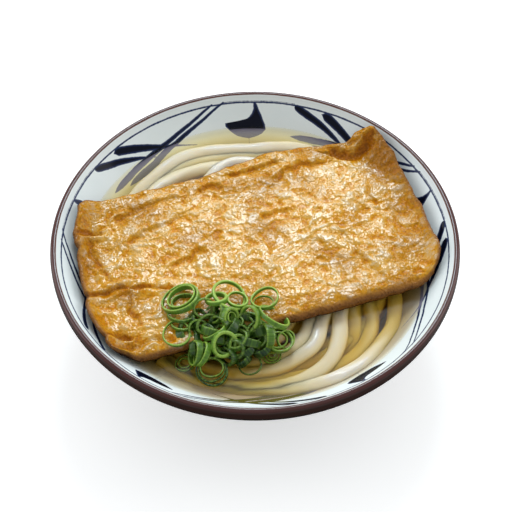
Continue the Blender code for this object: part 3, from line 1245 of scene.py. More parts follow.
    def strand_tree(self) -> bpy.types.NodeTree:
        """Node tree that sweeps a square-cut, soft-edged section along each strand.

        Returns:
            The tree, whose inputs are Width, Corner, Twist, Seed and Finish.
        """
        usual = {"Width": 0.007, "Corner": 0.0026, "Twist": 1.2, "Seed": 3.0}
        tree, add = new_tree("udon_strand", usual)
        given = add("NodeGroupInput").outputs
        where = add("GeometryNodeInputPosition")
        drift = add(
            "TexNoise", {"Vector": where, "W": given["Seed"], "Scale": 28.0, "Detail": 1.0},
            noise_dimensions="4D",
        )
        turn = add("MapRange", {"Value": drift, "From Min": 0.3, "From Max": 0.7, "To Min": -1.0})
        tilt = add("Math", {0: turn, 1: given["Twist"]}, operation="MULTIPLY")
        tilted = add("GeometryNodeSetCurveTilt", {"Curve": given["Geometry"], "Tilt": tilt})
        swell = add(
            "TexNoise", {"Vector": where, "W": given["Seed"], "Scale": 75.0, "Detail": 1.0},
            noise_dimensions="4D",
        )
        grow = add(
            "MapRange", {"Value": swell, "From Min": 0.25, "From Max": 0.75, "To Min": 0.93, "To Max": 1.07}
        )
        own = add("GeometryNodeInputRadius")
        radius = add("Math", {0: own, 1: grow}, operation="MULTIPLY")
        section = add(
            "GeometryNodeCurvePrimitiveQuadrilateral", {"Width": given["Width"], "Height": given["Width"]}
        )
        rounded = add(
            "GeometryNodeFilletCurve", {"Curve": section, "Count": 3, "Radius": given["Corner"]}, mode="POLY"
        )
        swept = add(
            "GeometryNodeCurveToMesh",
            {"Curve": tilted, "Profile Curve": rounded, "Scale": radius, "Fill Caps": True},
        )
        end_tree(add, swept, given["Finish"])
        return tree

    def sweep(
        self, name: str, strands: list[Strand], tree: bpy.types.NodeTree, finish: bpy.types.Material
    ) -> bpy.types.Object:
        """Sweep the strands into one mesh.

        Args:
            name: The piece's name.
            strands: The centre lines.
            tree: The node tree of strand_tree.
            finish: The noodle's material.

        Returns:
            The plain mesh object.
        """
        curve = bpy.data.curves.new(name + "_lines", "CURVE")
        curve.dimensions = "3D"
        for strand in strands:
            line = strand.line(self.spacing, self.form) * MM
            spline = curve.splines.new("POLY")
            spline.points.add(len(line) - 1)
            flat = np.column_stack([line, np.ones(len(line))]).ravel()
            spline.points.foreach_set("co", flat)
            spline.points.foreach_set("radius", np.full(len(line), strand.size))
        values = {
            "Width": self.width * MM,
            "Corner": self.width * self.corner_share * MM,
            "Twist": self.twist,
            "Seed": float(self.seed),
            "Finish": finish,
        }
        return grown_piece(name, curve, tree, values)

    def core(self, finish: bpy.types.Material) -> bpy.types.Object:
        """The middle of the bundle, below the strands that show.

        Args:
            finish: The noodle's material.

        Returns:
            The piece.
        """
        form = self.form
        top = form.broth_level - self.core_drop - self.core_margin
        outer = form.wall_radius(top) - self.core_margin
        line = [(r, top - 1.5 * (r / outer) ** 2) for r in np.linspace(4.0, outer, 12)]
        for r in np.linspace(outer - 0.5, 6.0, 12):
            line.append((r, float(form.wall_height(r)) + self.core_lift))
        angles = np.arange(self.core_segments) * math.tau / self.core_segments
        radius = np.array(line)[:, :1]
        uneven = 1 + 0.02 * np.sin(5 * angles) + 0.015 * np.sin(9 * angles + radius)
        poles = (top, form.floor + self.core_lift)
        return turned_piece("noodle_core", line, poles, self.core_segments, finish, uneven)

    def build(self) -> list[bpy.types.Object]:
        """Make the core, the sunken strands and the strands that show.

        Returns:
            The three pieces.
        """
        finish = self.finish.make()
        tree = self.strand_tree()
        shown = self.sweep("udon_strands", self.front_strands() + self.back_strands(), tree, finish)
        sunken = self.sweep("sunken_udon_strands", self.sunken_strands(), tree, finish)
        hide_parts("noodles")
        pieces = [shown, sunken, self.core(finish)]
        return pieces


# ---------------------------------------------------------------- fried tofu


@dataclass(frozen=True)
class SimmeredFriedTofu:
    """Deep-fried tofu skin after simmering: blistered, wet with stock and amber, browner in its hollows.

    The wet film gives a broad pale sheen on whatever faces the light, broken up by fine crumbs of skin.
    Besides, sheen is painted on the palest raised patches, and shade is painted on steep slopes, in creases,
    below the turned-up corner, down the side and on the underside.
    """

    crest: str = "D0A65A"
    blister: str = "E4CEA8"
    gold: str = "D89C1E"
    hollow: str = "C87E0A"
    scorch: str = "8E5008"
    side: str = "B27A34"
    side_mid: str = "8A5A2A"
    side_low: str = "4C2C14"
    underneath: str = "24140A"
    roughness: float = 0.5

    def make(self) -> bpy.types.Material:
        """Make the skin, which reads the marks lift (hollow to crest), browning and side (top to edge).

        Returns:
            The material.
        """
        material, add = new_material("simmered_fried_tofu_skin")
        place = add("TexCoord").outputs["Object"]
        lift = add("Attribute", attribute_name="lift").outputs["Fac"]
        browning = add("Attribute", attribute_name="browning").outputs["Fac"]
        side = add("Attribute", attribute_name="side").outputs["Fac"]
        blotch = add(
            "TexNoise",
            {"Vector": place, "Scale": 300.0, "Detail": 6.0, "Roughness": 0.75, "Distortion": 0.8},
        )
        mixed = add("Math", {0: blotch, 1: 1.7, 2: -0.75}, operation="MULTIPLY_ADD")
        broad = add("TexNoise", {"Vector": place, "Scale": 85.0, "Detail": 2.0})
        milky = add("Math", {0: broad, 1: 0.7, 2: -0.35}, operation="MULTIPLY_ADD")
        raised = add("Math", {0: lift, 1: 0.7, 2: milky}, operation="MULTIPLY_ADD")
        level = add("Math", {0: raised, 1: mixed}, operation="ADD")
        # Raised skin is paler, hollows browner; the palest stop is a painted sheen that whitens the
        # highlights.
        top = set_ramp(
            add("ValToRGB", {"Fac": level}),
            ((0.08, self.hollow), (0.42, self.gold), (0.76, self.crest), (1.0, self.blister)),
        )
        browned = add("Mix", {"Factor": browning, "A": top, "B": linear(self.scorch)}, data_type="RGBA")
        speckle = add("TexNoise", {"Vector": place, "Scale": 800.0, "Detail": 1.0, "Roughness": 0.6})
        strewn = add("Math", {0: speckle, 1: 0.7, 2: side}, operation="MULTIPLY_ADD")
        lowered = add("Math", {0: strewn, 1: 0.35}, operation="SUBTRACT")
        # Down the cut side the brown deepens: partly scorch, partly painted shade under the overhanging edge.
        edge = set_ramp(
            add("ValToRGB", {"Fac": lowered}),
            ((0.08, self.side), (0.42, self.side_mid), (0.72, self.side_low), (0.95, self.underneath)),
        )
        turned = add(
            "MapRange", {"Value": side, "From Min": 0.06, "From Max": 0.36}, interpolation_type="SMOOTHSTEP"
        )
        colour = add("Mix", {"Factor": turned, "A": browned, "B": edge}, data_type="RGBA")
        crumb = add(
            "TexVoronoi", {"Vector": place, "Scale": 820.0, "Smoothness": 0.6, "Randomness": 1.0},
            feature="SMOOTH_F1",
        ).outputs["Distance"]
        fine = add(
            "TexNoise",
            {
                "Vector": place, "Scale": 380.0, "Detail": 3.0, "Roughness": 0.6, "Distortion": 0.5,
                "Gain": 1.5,
            },
            noise_type="RIDGED_MULTIFRACTAL",
        )
        grain = add("Math", {0: crumb, 1: -0.6, 2: fine}, operation="MULTIPLY_ADD")
        crisp = add("MapRange", {"Value": side, "From Max": 0.4, "To Min": 0.42, "To Max": 1.0})
        bump = add("Bump", {"Height": grain, "Strength": crisp, "Distance": 0.0008})
        calm = add("TexNoise", {"Vector": place, "Scale": 150.0, "Detail": 2.0})
        loose = add(
            "MapRange", {"Value": calm, "From Min": 0.36, "From Max": 0.62, "To Min": 0.12, "To Max": 0.85}
        )
        film = add("Bump", {"Height": grain, "Strength": loose, "Distance": 0.0006})
        held = add("Math", {0: browning, 1: -0.7, 2: level}, operation="MULTIPLY_ADD")
        kept = add("Math", {0: side, 1: -0.9, 2: held}, operation="MULTIPLY_ADD")
        wet = add(
            "MapRange", {"Value": kept, "From Min": 0.05, "From Max": 0.5, "To Min": 0.2, "To Max": 1.0},
            interpolation_type="SMOOTHSTEP",
        )
        flecks = add(
            "MapRange",
            {"Value": speckle, "From Min": 0.36, "From Max": 0.62, "To Min": 0.74, "To Max": 1.12},
        )
        dry = add("Math", {0: wet, 1: -0.75, 2: 1.0}, operation="MULTIPLY_ADD")
        crumbly = add(
            "Mix", {"Factor": dry, "A": colour, "B": flecks}, data_type="RGBA", blend_type="MULTIPLY"
        )
        shader = add(
            "BsdfPrincipled",
            {
                "Base Color": crumbly, "Roughness": self.roughness, "IOR": 1.4, "Specular IOR Level": 0.0,
                "Coat Weight": wet, "Coat Roughness": 0.16, "Coat IOR": 1.62, "Coat Normal": film,
                "Normal": bump,
            },
        )
        add("OutputMaterial", {"Surface": shader})
        return material


@dataclass(frozen=True)
class Fold:
    """One crease in the sheet: its line, each point along and across the sheet, and its cut.

    The lip is the share of the depth that the skin stands up, to the left of the line.
    """

    line: tuple[tuple[float, float], ...]
    depth: float
    width: float
    lip: float = 0.5
    lip_place: float = 2.1
    lip_spread: float = 1.4

    def press(self, flat: np.ndarray) -> tuple[np.ndarray, np.ndarray]:
        """How the crease moves the skin.

        Args:
            flat: Places along and across the sheet, in a last axis of two.

        Returns:
            Heights to add, and how near each place is to the bottom of the crease, from 0 to 1.
        """
        near = np.full(flat.shape[:-1], 1e3)
        turn = np.zeros_like(near)
        for start, end in zip(self.line, self.line[1:]):
            first, run = np.array(start), np.array(end) - np.array(start)
            share = np.clip(((flat - first) @ run) / (run @ run), 0, 1)
            off = flat - first - share[..., None] * run
            away = np.hypot(off[..., 0], off[..., 1])
            turn = np.where(away < near, np.sign(run[0] * off[..., 1] - run[1] * off[..., 0]), turn)
            near = np.minimum(near, away)
        groove = np.exp(-((near / self.width) ** 2))
        rise = np.exp(-((turn * near / self.width - self.lip_place) ** 2) / self.lip_spread)
        return self.depth * (self.lip * rise - groove), groove


@dataclass(frozen=True)
class Nick:
    """Where an edge of the sheet stands out, or is nicked if less than 0: place, width and amount."""

    place: float
    width: float
    push: float

    def bump(self, x: np.ndarray) -> np.ndarray:
        """How far the edge stands out at places along it."""
        return self.push * np.exp(-(((x - self.place) / self.width) ** 2))


@dataclass
class FriedTofuSheet:
    """The large simmered sheet, draped over the noodles and up the wall, as its solid is set out."""

    form: BowlForm = field(default_factory=BowlForm)
    finish: SimmeredFriedTofu = field(default_factory=SimmeredFriedTofu)
    centre: tuple[float, float] = (-1.5, 6.0)
    turn: float = 20.3
    half_length: float = 84.8
    front_width: float = 54.8
    back_width: float = 51.5
    skew: float = 4.5
    left_bulge: float = 8.0
    right_bulge: float = 6.3
    edge_wave: float = 1.8
    wave_length: float = 85.0
    corner_cut: float = 3.0
    thickness: float = 8.0
    corner_thickness: float = 5.0
    middle_height: float = 59.2
    tilt: float = 0.8
    curl: float = 0.5
    front_slant: float = 2.6
    corner_round: float = 2.6
    end_rounding: float = 3.0
    front_rounding: float = 4.4
    back_rounding: float = 3.2
    highest: float = 74.35
    fullness: float = 2.4
    wall_gap: float = 1.4
    bend: float = 1.5
    steepest: float = 0.2
    knob: tuple[float, ...] = (-77.0, 44.0, 9.0, 7.0)
    tip: tuple[float, ...] = (83.0, 47.0, 6.0, 6.0)
    columns: int = 390
    rows: int = 228
    coarse: int = 3
    seed: int = 11
    left_nicks: tuple[Nick, ...] = (
        Nick(37, 8, 2.2), Nick(25.5, 2.6, -1.6), Nick(2, 6, 0.7), Nick(-7, 2.2, -1.7), Nick(-25, 8, 0.5),
        Nick(-35, 2.2, -1.5), Nick(-48, 8, 0.8),
    )
    right_nicks: tuple[Nick, ...] = (
        Nick(25, 8, 1.6), Nick(4, 6, -0.2), Nick(-14, 9, 1.6), Nick(-40, 8, 1.0),
    )
    back_nicks: tuple[Nick, ...] = (
        Nick(6, 13, 3.9), Nick(27, 9, 2.8), Nick(-16, 11, 1.5), Nick(58, 7, -1.8), Nick(71, 6, -3.4),
        Nick(-60, 10, 0.8), Nick(-73, 8, 3.0),
    )
    folds: tuple[Fold, ...] = (
        Fold(((62, 40.5), (67, 37.5), (72, 34.5), (77, 35.5), (81, 38)), 2.4, 2.4, 0.7),
        Fold(((-73, 31.5), (-80, 33), (-85, 32.5), (-90, 26)), 1.5, 1.6, 0.9),
        Fold(((-50, -16), (-56, -13), (-66, -9), (-74, -6), (-82, -8), (-90, -7), (-97, -6)), 1.6, 1.5, 0.7),
        Fold(((-80, -38), (-87, -35), (-92, -34), (-97, -31)), 1.6, 1.6, 0.8),
        Fold(((-78, 0), (-79, 8), (-82, 18), (-80, 28)), 0.9, 1.5, 0.6),
        Fold(((-75, -5), (-72, -14), (-74, -24), (-72, -32)), 0.7, 1.3, 0.6),
        Fold(((-60, -46), (-70, -43), (-78, -45), (-88, -43)), 1.0, 1.5, 0.7),
        Fold(((4, 46), (12, 45.5), (20, 45), (31, 46.5)), 0.9, 1.4, 0.6),
        Fold(((-14, 41), (-10, 42), (-4, 40)), 0.9, 1.5, 0.5),
        Fold(((26, 34), (33, 38), (42, 39.5), (50, 37), (58, 36)), 0.9, 1.7, 0.6),
        Fold(((70, 11), (68, 6), (70, 0)), 0.6, 0.9, 0.6),
        Fold(((-62, 37), (-50, 40), (-38, 42), (-28, 41)), 0.8, 1.5, 0.6),
        Fold(((-60, 20), (-50, 24), (-38, 25), (-28, 29)), 0.7, 1.4, 0.6),
        Fold(((-45, -2), (-36, -1), (-27, 3)), 0.6, 1.3, 0.6),
        Fold(((10, 12), (18, 13), (26, 11)), 0.6, 1.3, 0.6),
        Fold(((46, -14), (48, -26), (50, -36), (54, -46)), 0.6, 1.8, 0.5),
    )

    @property
    def half_width(self) -> float:
        """Half of the sheet's width, before its edges are shaped."""
        return 0.5 * (self.front_width + self.back_width)

    def waves(self, place: np.ndarray, size: float, number: int) -> np.ndarray:
        """One of the sheet's own fields of waves."""
        return Relief.waves(place, size, self.seed + number)

    @staticmethod
    def bell(along: np.ndarray, across: np.ndarray, spot: tuple[float, ...]) -> np.ndarray:
        """A round swelling, 1 at its middle, from the middle's two distances and its two reaches."""
        return np.exp(-(((along - spot[0]) / spot[2]) ** 2) - ((across - spot[1]) / spot[3]) ** 2)

    def plan(self, s: np.ndarray, t: np.ndarray) -> tuple[np.ndarray, ...]:
        """Plan position at s along the sheet and t across it, each from -1 to 1.

        Args:
            s: Shares of the half length.
            t: Shares of the half width.

        Returns:
            x, y, and the distances along and across the sheet.
        """
        bulge = np.where(s > 0, self.right_bulge, self.left_bulge - 2.0 * t)
        cut_in = self.corner_cut * (1 - 0.4 * s) * (s * t) ** 8 * (t < 0)
        length, width = self.insets(s, t)
        sharp = np.where((s < 0) & (t > 0), 0.4, 1.0)
        rounded = self.corner_round * sharp * np.exp(-(length**2 + width**2) / 40.0)
        level = t * self.half_width
        uneven = np.zeros_like(level)
        for nicks, end in ((self.left_nicks, s < 0), (self.right_nicks, s > 0)):
            for nick in nicks:
                uneven += end * nick.bump(level)
        ragged = Relief.waves(np.stack([level, 200 * np.sign(s)], -1), 4.5, self.seed + 30)
        uneven = (uneven + 0.5 * ragged) * s**10
        along = s * (self.half_length + bulge * s * s * (1 - t * t) - cut_in)
        along = along + self.skew * t * 0.5 * (1 - s) + 0.6 * np.sin(9 * t + 1)
        along = along + np.sign(s) * (uneven - rounded)
        wave = self.edge_wave * np.cos(math.tau * (along - 38.0) / self.wave_length)
        slant = self.front_slant * np.tanh(along / 45.0) * t**4
        frayed = Relief.waves(np.stack([along, 200 * np.sign(t)], -1), 5.5, self.seed + 31)
        pushed = sum(nick.bump(along) for nick in self.back_nicks)
        back = self.back_width + wave + pushed * np.maximum(0, t) ** 3
        width = np.where(t > 0, back, self.front_width - 0.7 * cut_in + slant)
        across = t * (width + 0.6 * frayed * t**10 - rounded)
        c, n = math.cos(math.radians(self.turn)), math.sin(math.radians(self.turn))
        x = self.centre[0] + along * c - across * n
        y = self.centre[1] + along * n + across * c
        return x, y, along, across

    def insets(self, s: np.ndarray, t: np.ndarray) -> tuple[np.ndarray, np.ndarray]:
        """Distances in from the nearer end and from the nearer long edge."""
        return self.half_length * (1 - np.abs(s)), self.half_width * (1 - np.abs(t))

    def depth(self, s: np.ndarray, t: np.ndarray) -> np.ndarray:
        """Thickness of the sheet, thinner at its corners."""
        return self.thickness + (self.corner_thickness - self.thickness) * np.abs(s * t) ** 3

    def middle(self, s: np.ndarray, t: np.ndarray, x: np.ndarray, y: np.ndarray) -> np.ndarray:
        """Height of the sheet's middle: flat on the noodles, with its ends up the wall.

        Args:
            s: Shares of the half length.
            t: Shares of the half width.
            x: Plan positions.
            y: Plan positions.

        Returns:
            Heights.
        """
        radius = np.hypot(x, y)
        rest = self.middle_height - self.tilt * t
        slope = self.form.wall_slope(radius)
        lean = self.form.wall_height(radius) + self.wall_gap + 0.4 * self.depth(s, t) / np.cos(slope)
        height = 0.5 * (rest + lean + np.sqrt((rest - lean) ** 2 + self.bend**2))
        return height + self.curl * np.maximum(0, s) ** 6 * np.maximum(0, t) ** 6

    def skin(self, along: np.ndarray, across: np.ndarray) -> tuple[np.ndarray, ...]:
        """Relief of the fried skin.

        Args:
            along: Distances along the sheet.
            across: Distances across it.

        Returns:
            Heights to add, how far each place stands out of its neighbourhood, and how browned it is, the
            last two from 0 to 1.
        """
        flat = np.stack([along, across], -1)
        drift = np.stack(
            [self.waves(flat, 17.0, 1), self.waves(flat, 17.0, 2)], -1
        )
        fine_drift = np.stack(
            [self.waves(flat, 5.0, 3), self.waves(flat, 5.0, 4)], -1
        )
        bent = flat + 3.5 * drift + 1.3 * fine_drift
        rim = np.exp(-self.border(along, across) / 5.0)
        left = np.clip((-along - 60.0) / 25.0, 0, 1)
        nook = np.exp(-(((along - 80.0) ** 2 + (across - 43.0) ** 2) / 150.0))
        knob = self.bell(along, across, self.knob)
        tip = self.bell(along, across, self.tip)
        crumple = self.waves(bent, 3.0, 25) + 0.6 * self.waves(bent, 1.6, 26)
        swell = self.waves(flat, 36.0, 5) + 0.5 * self.waves(flat, 18.0, 12)
        step = np.tanh(3.5 * (self.waves(bent * (0.8, 1.1), 5.0, 6) + 0.16))
        lump = self.waves(bent, 3.4, 11)
        shore, island = Relief.blisters(bent * (0.85, 1.2) + 1.2 * fine_drift, 6.5, self.seed + 40)
        patch = np.clip((island - 0.5) / 0.3, 0, 1) * np.clip(3.0 * shore, 0, 1)
        border, own = Relief.blisters(bent * (0.9, 1.1) + 0.8 * fine_drift, 1.9, self.seed + 7)
        crumb = 1 - np.exp(-2.4 * border)
        lean = np.stack(
            [bent[..., 0] * 0.40 + bent[..., 1] * 0.16, bent[..., 1] * 1.05 - bent[..., 0] * 0.12], -1
        )
        fold = 1 - np.abs(self.waves(lean, 4.6, 8))
        folded = np.clip(0.35 + 1.0 * self.waves(flat, 30.0, 13), 0.05, 1)
        pit = self.waves(flat + 0.5 * fine_drift, 1.25, 10)
        relief = (
            0.9 * swell
            + 0.20 * step
            + 0.30 * lump
            + 0.21 * folded * (fold**2 - 0.5)
            + 0.19 * (crumb - 0.5) * (0.5 + own)
            + 0.26 * patch
            + 0.13 * pit
            + rim * (0.9 * self.waves(flat, 8.0, 20) + 0.35 * self.waves(flat, 3.6, 21))
            + 1.2 * left * self.waves(flat, 13.0, 22)
            + nook * (1.5 * self.waves(flat, 7.5, 23) + 1.2 * crumple)
            + 3.2 * knob
            + tip * (1.3 + 1.6 * self.waves(flat, 3.0, 24))
        )
        stand = 0.50 + 0.24 * step + 0.22 * lump + 0.20 * folded * (fold**2 - 0.55)
        stand = stand + 0.16 * (crumb - 0.55) + 0.16 * pit + 0.05 * swell + 0.30 * nook * crumple
        stand = stand + 0.34 * patch - 0.05
        browning = 0.06 + 0.45 * self.waves(flat, 24.0, 14) + 0.25 * drift[..., 0]
        browning = browning + 0.30 * np.exp((np.abs(across) - 52.0) / 7.0)
        browning = browning + 0.25 * np.exp((np.abs(along) - 84.0) / 12.0)
        # Painted shade in the hollow below the turned-up corner, kept off its tip.
        baked = np.exp((np.hypot(along - 82.0, across - 46.0) - 14.0) / -9.0).clip(0, 1)
        browning = browning - 0.30 * nook * crumple + 0.28 * baked * (1 - 0.95 * tip)
        for fold_line in self.folds:
            press, groove = fold_line.press(flat + 1.2 * fine_drift)
            relief = relief + press
            # The groove is darkened and browned: partly browning, partly painted shade in the crease.
            stand = stand + 0.12 * press - 0.18 * groove * fold_line.depth
            browning = browning + 0.28 * groove * fold_line.depth
        return relief, np.clip(stand, 0, 1), np.clip(browning, 0, 0.75)

    def border(self, along: np.ndarray, across: np.ndarray) -> np.ndarray:
        """Rough distance from the sheet's outline.

        Args:
            along: Distances along the sheet.
            across: Distances across it.

        Returns:
            The distances, none less than 0.
        """
        ends = np.where(along > 0, self.half_length + 5.0, self.half_length + 9.0) - np.abs(along)
        edges = np.where(across > 0, self.back_width, self.front_width) - np.abs(across)
        return np.maximum(np.minimum(ends, edges), 0)

    def build(self) -> bpy.types.Object:
        """Make the closed sheet: a fine top, rounded sides and a coarser underside.

        Returns:
            The piece.
        """
        columns, rows = self.columns, self.rows
        s, t = np.meshgrid(self.spread(columns, 0.07), self.spread(rows, 0.11))
        x, y, along, across = self.plan(s, t)
        length, width = self.insets(s, t)
        edge_round = np.where(t < 0, self.front_rounding, self.back_rounding)
        inset = np.minimum(length / self.end_rounding, width / edge_round)
        corner = np.clip(1 - length / self.end_rounding, 0, 1) ** self.fullness
        corner = corner + np.clip(1 - width / edge_round, 0, 1) ** self.fullness
        fall = np.clip(1 - corner, 0, 1) ** (1 / self.fullness)
        middle = self.middle(s, t, x, y)
        half = 0.5 * self.depth(s, t)
        relief, stand, browning = self.skin(along, across)
        # Steep slopes are made less pale: painted shade on faces turned from the light.
        climb = np.gradient(relief, axis=1) / np.gradient(along, axis=1)
        steep = np.hypot(climb, np.gradient(relief, axis=0) / np.gradient(across, axis=0))
        stand = stand - 0.5 * np.clip(steep - self.steepest, 0, 0.6)
        top = middle + half * fall + relief * (0.45 + 0.55 * np.clip(inset, 0, 1))
        top = np.minimum(top, self.highest)
        under = middle - 0.8 * half * fall
        side = 0.55 * np.clip(1 - inset, 0, 1) ** 1.3
        places = [np.stack([x, y, top], -1).reshape(-1, 3)]
        marks = {"lift": [stand.ravel()], "side": [side.ravel()], "browning": [browning.ravel()]}
        wide = columns + 1
        faces: list[tuple[int, ...]] = [
            (j * wide + i, j * wide + i + 1, (j + 1) * wide + i + 1, (j + 1) * wide + i)
            for j in range(rows)
            for i in range(columns)
        ]
        lower: dict[tuple[int, int], int] = {}
        extra: list[tuple[int, int]] = []
        for j in range(0, rows + 1, self.coarse):
            for i in range(0, columns + 1, self.coarse):
                if i in (0, columns) or j in (0, rows):
                    lower[i, j] = j * wide + i
                else:
                    lower[i, j] = wide * (rows + 1) + len(extra)
                    extra.append((i, j))
        index = tuple(np.array(extra).T[::-1])
        places.append(np.stack([x[index], y[index], under[index]], -1))
        marks["lift"].append(np.full(len(extra), 0.4))
        # The underside takes the side's darkest stop, a painted shade.
        marks["side"].append(np.full(len(extra), 0.95))
        marks["browning"].append(np.full(len(extra), 0.3))
        faces += self.underside(lower, wide)
        sheet = mesh_piece(
            "fried_tofu_sheet",
            np.concatenate(places),
            faces,
            self.finish.make(),
            {name: np.concatenate(values) for name, values in marks.items()},
        )
        face_outwards(sheet)
        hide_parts("fried_tofu")
        return sheet

    @staticmethod
    def spread(count: int, share: float) -> np.ndarray:
        """Shares from -1 to 1 that close up towards both ends.

        Args:
            count: Number of steps.
            share: How strongly they close up.

        Returns:
            The shares.
        """
        even = np.linspace(-1, 1, count + 1)
        return even + share * np.sin(math.pi * even)

    def underside(self, lower: dict[tuple[int, int], int], wide: int) -> list[tuple[int, ...]]:
        """Faces of the coarse underside, whose outer ones take in the fine edge.

        Args:
            lower: Vertex of each coarse grid place.
            wide: Vertices in one row of the fine top.

        Returns:
            Corner numbers of each face.
        """
        step, columns, rows = self.coarse, self.columns, self.rows
        faces = []
        for j in range(0, rows, step):
            for i in range(0, columns, step):
                loop = [lower[i, j]]
                if i == 0:
                    loop += [(j + k) * wide for k in range(1, step)]
                loop.append(lower[i, j + step])
                if j + step == rows:
                    loop += [rows * wide + i + k for k in range(1, step)]
                loop.append(lower[i + step, j + step])
                if i + step == columns:
                    loop += [(j + step - k) * wide + columns for k in range(1, step)]
                loop.append(lower[i + step, j])
                if j == 0:
                    loop += [i + step - k for k in range(1, step)]
                faces.append(tuple(loop))
        return faces


# ---------------------------------------------------------------- green onion


@dataclass(frozen=True)
class CutGreenOnion:
    """Fresh green onion leaf, knife-cut into rings.

    Light soaks through the thin wet wall, the outside is waxy with fine lengthwise veins, and the cut edge
    is paler and yellower. How dark each ring's green is comes partly from the leaf and partly from painted
    shade inside the heap and near the broth.
    """

    leaf: str = "6A942E"
    deep: str = "10300C"
    cut: str = "9AB84A"
    vein_spacing: float = 0.9
    roughness: float = 0.35

    def make(self) -> bpy.types.Material:
        """Make the leaf, which reads the marks cut (0 on the leaf, 1 on the cut face), tone and vein.

        Returns:
            The material.
        """
        material, add = new_material("cut_green_onion")
        cut = add("Attribute", attribute_name="cut").outputs["Fac"]
        tone = add("Attribute", attribute_name="tone").outputs["Fac"]
        vein = add("Attribute", attribute_name="vein").outputs["Vector"]
        veins = add(
            "TexNoise", {"Vector": vein, "Scale": 1.0 / self.vein_spacing, "Detail": 2.0, "Roughness": 0.6}
        )
        # A ring's green darkens with its mark: partly the leaf's own, partly painted shade; cut edges show on
        # bright rings.
        shade = add("Math", {0: veins, 1: 0.9, 2: tone}, operation="MULTIPLY_ADD")
        level = add("MapRange", {"Value": shade, "From Min": 0.45, "From Max": 1.25})
        leaf = add(
            "Mix", {"Factor": level, "A": linear(self.deep), "B": linear(self.leaf)}, data_type="RGBA"
        )
        lit = add("Math", {0: cut, 1: level}, operation="MULTIPLY")
        colour = add("Mix", {"Factor": lit, "A": leaf, "B": linear(self.cut)}, data_type="RGBA")
        ribs = add("Bump", {"Height": veins, "Strength": 0.25, "Distance": 0.0003})
        shader = add(
            "BsdfPrincipled",
            {
                "Base Color": colour, "Roughness": self.roughness, "IOR": 1.4, "Specular IOR Level": 0.3,
                "Subsurface Weight": 0.25, "Subsurface Radius": (0.0008, 0.0014, 0.0005),
                "Subsurface Scale": 1.0, "Coat Weight": 0.5, "Coat Roughness": 0.15, "Coat IOR": 1.4,
                "Normal": ribs,
            },
        )
        add("OutputMaterial", {"Surface": shader})
        return material


@dataclass(frozen=True)
class OnionRing:
    """One ring: its middle and radius, how far its axis leans and where to, and how it was cut."""

    place: tuple[float, float, float]
    radius: float
    lean: float
    heading: float
    wall: float = 1.2
    length: float = 2.4
    squash: float = 0.95
    tone: float = 0.5

    def frame(self) -> tuple[np.ndarray, np.ndarray, np.ndarray]:
        """The ring's two directions across and its axis.

        Returns:
            Three unit vectors.
        """
        lean, heading = math.radians(self.lean), math.radians(self.heading)
        axis = np.array(
            [math.sin(lean) * math.cos(heading), math.sin(lean) * math.sin(heading), math.cos(lean)]
        )
        side = np.array([-math.sin(heading), math.cos(heading), 0.0])
        return side, np.cross(axis, side), axis


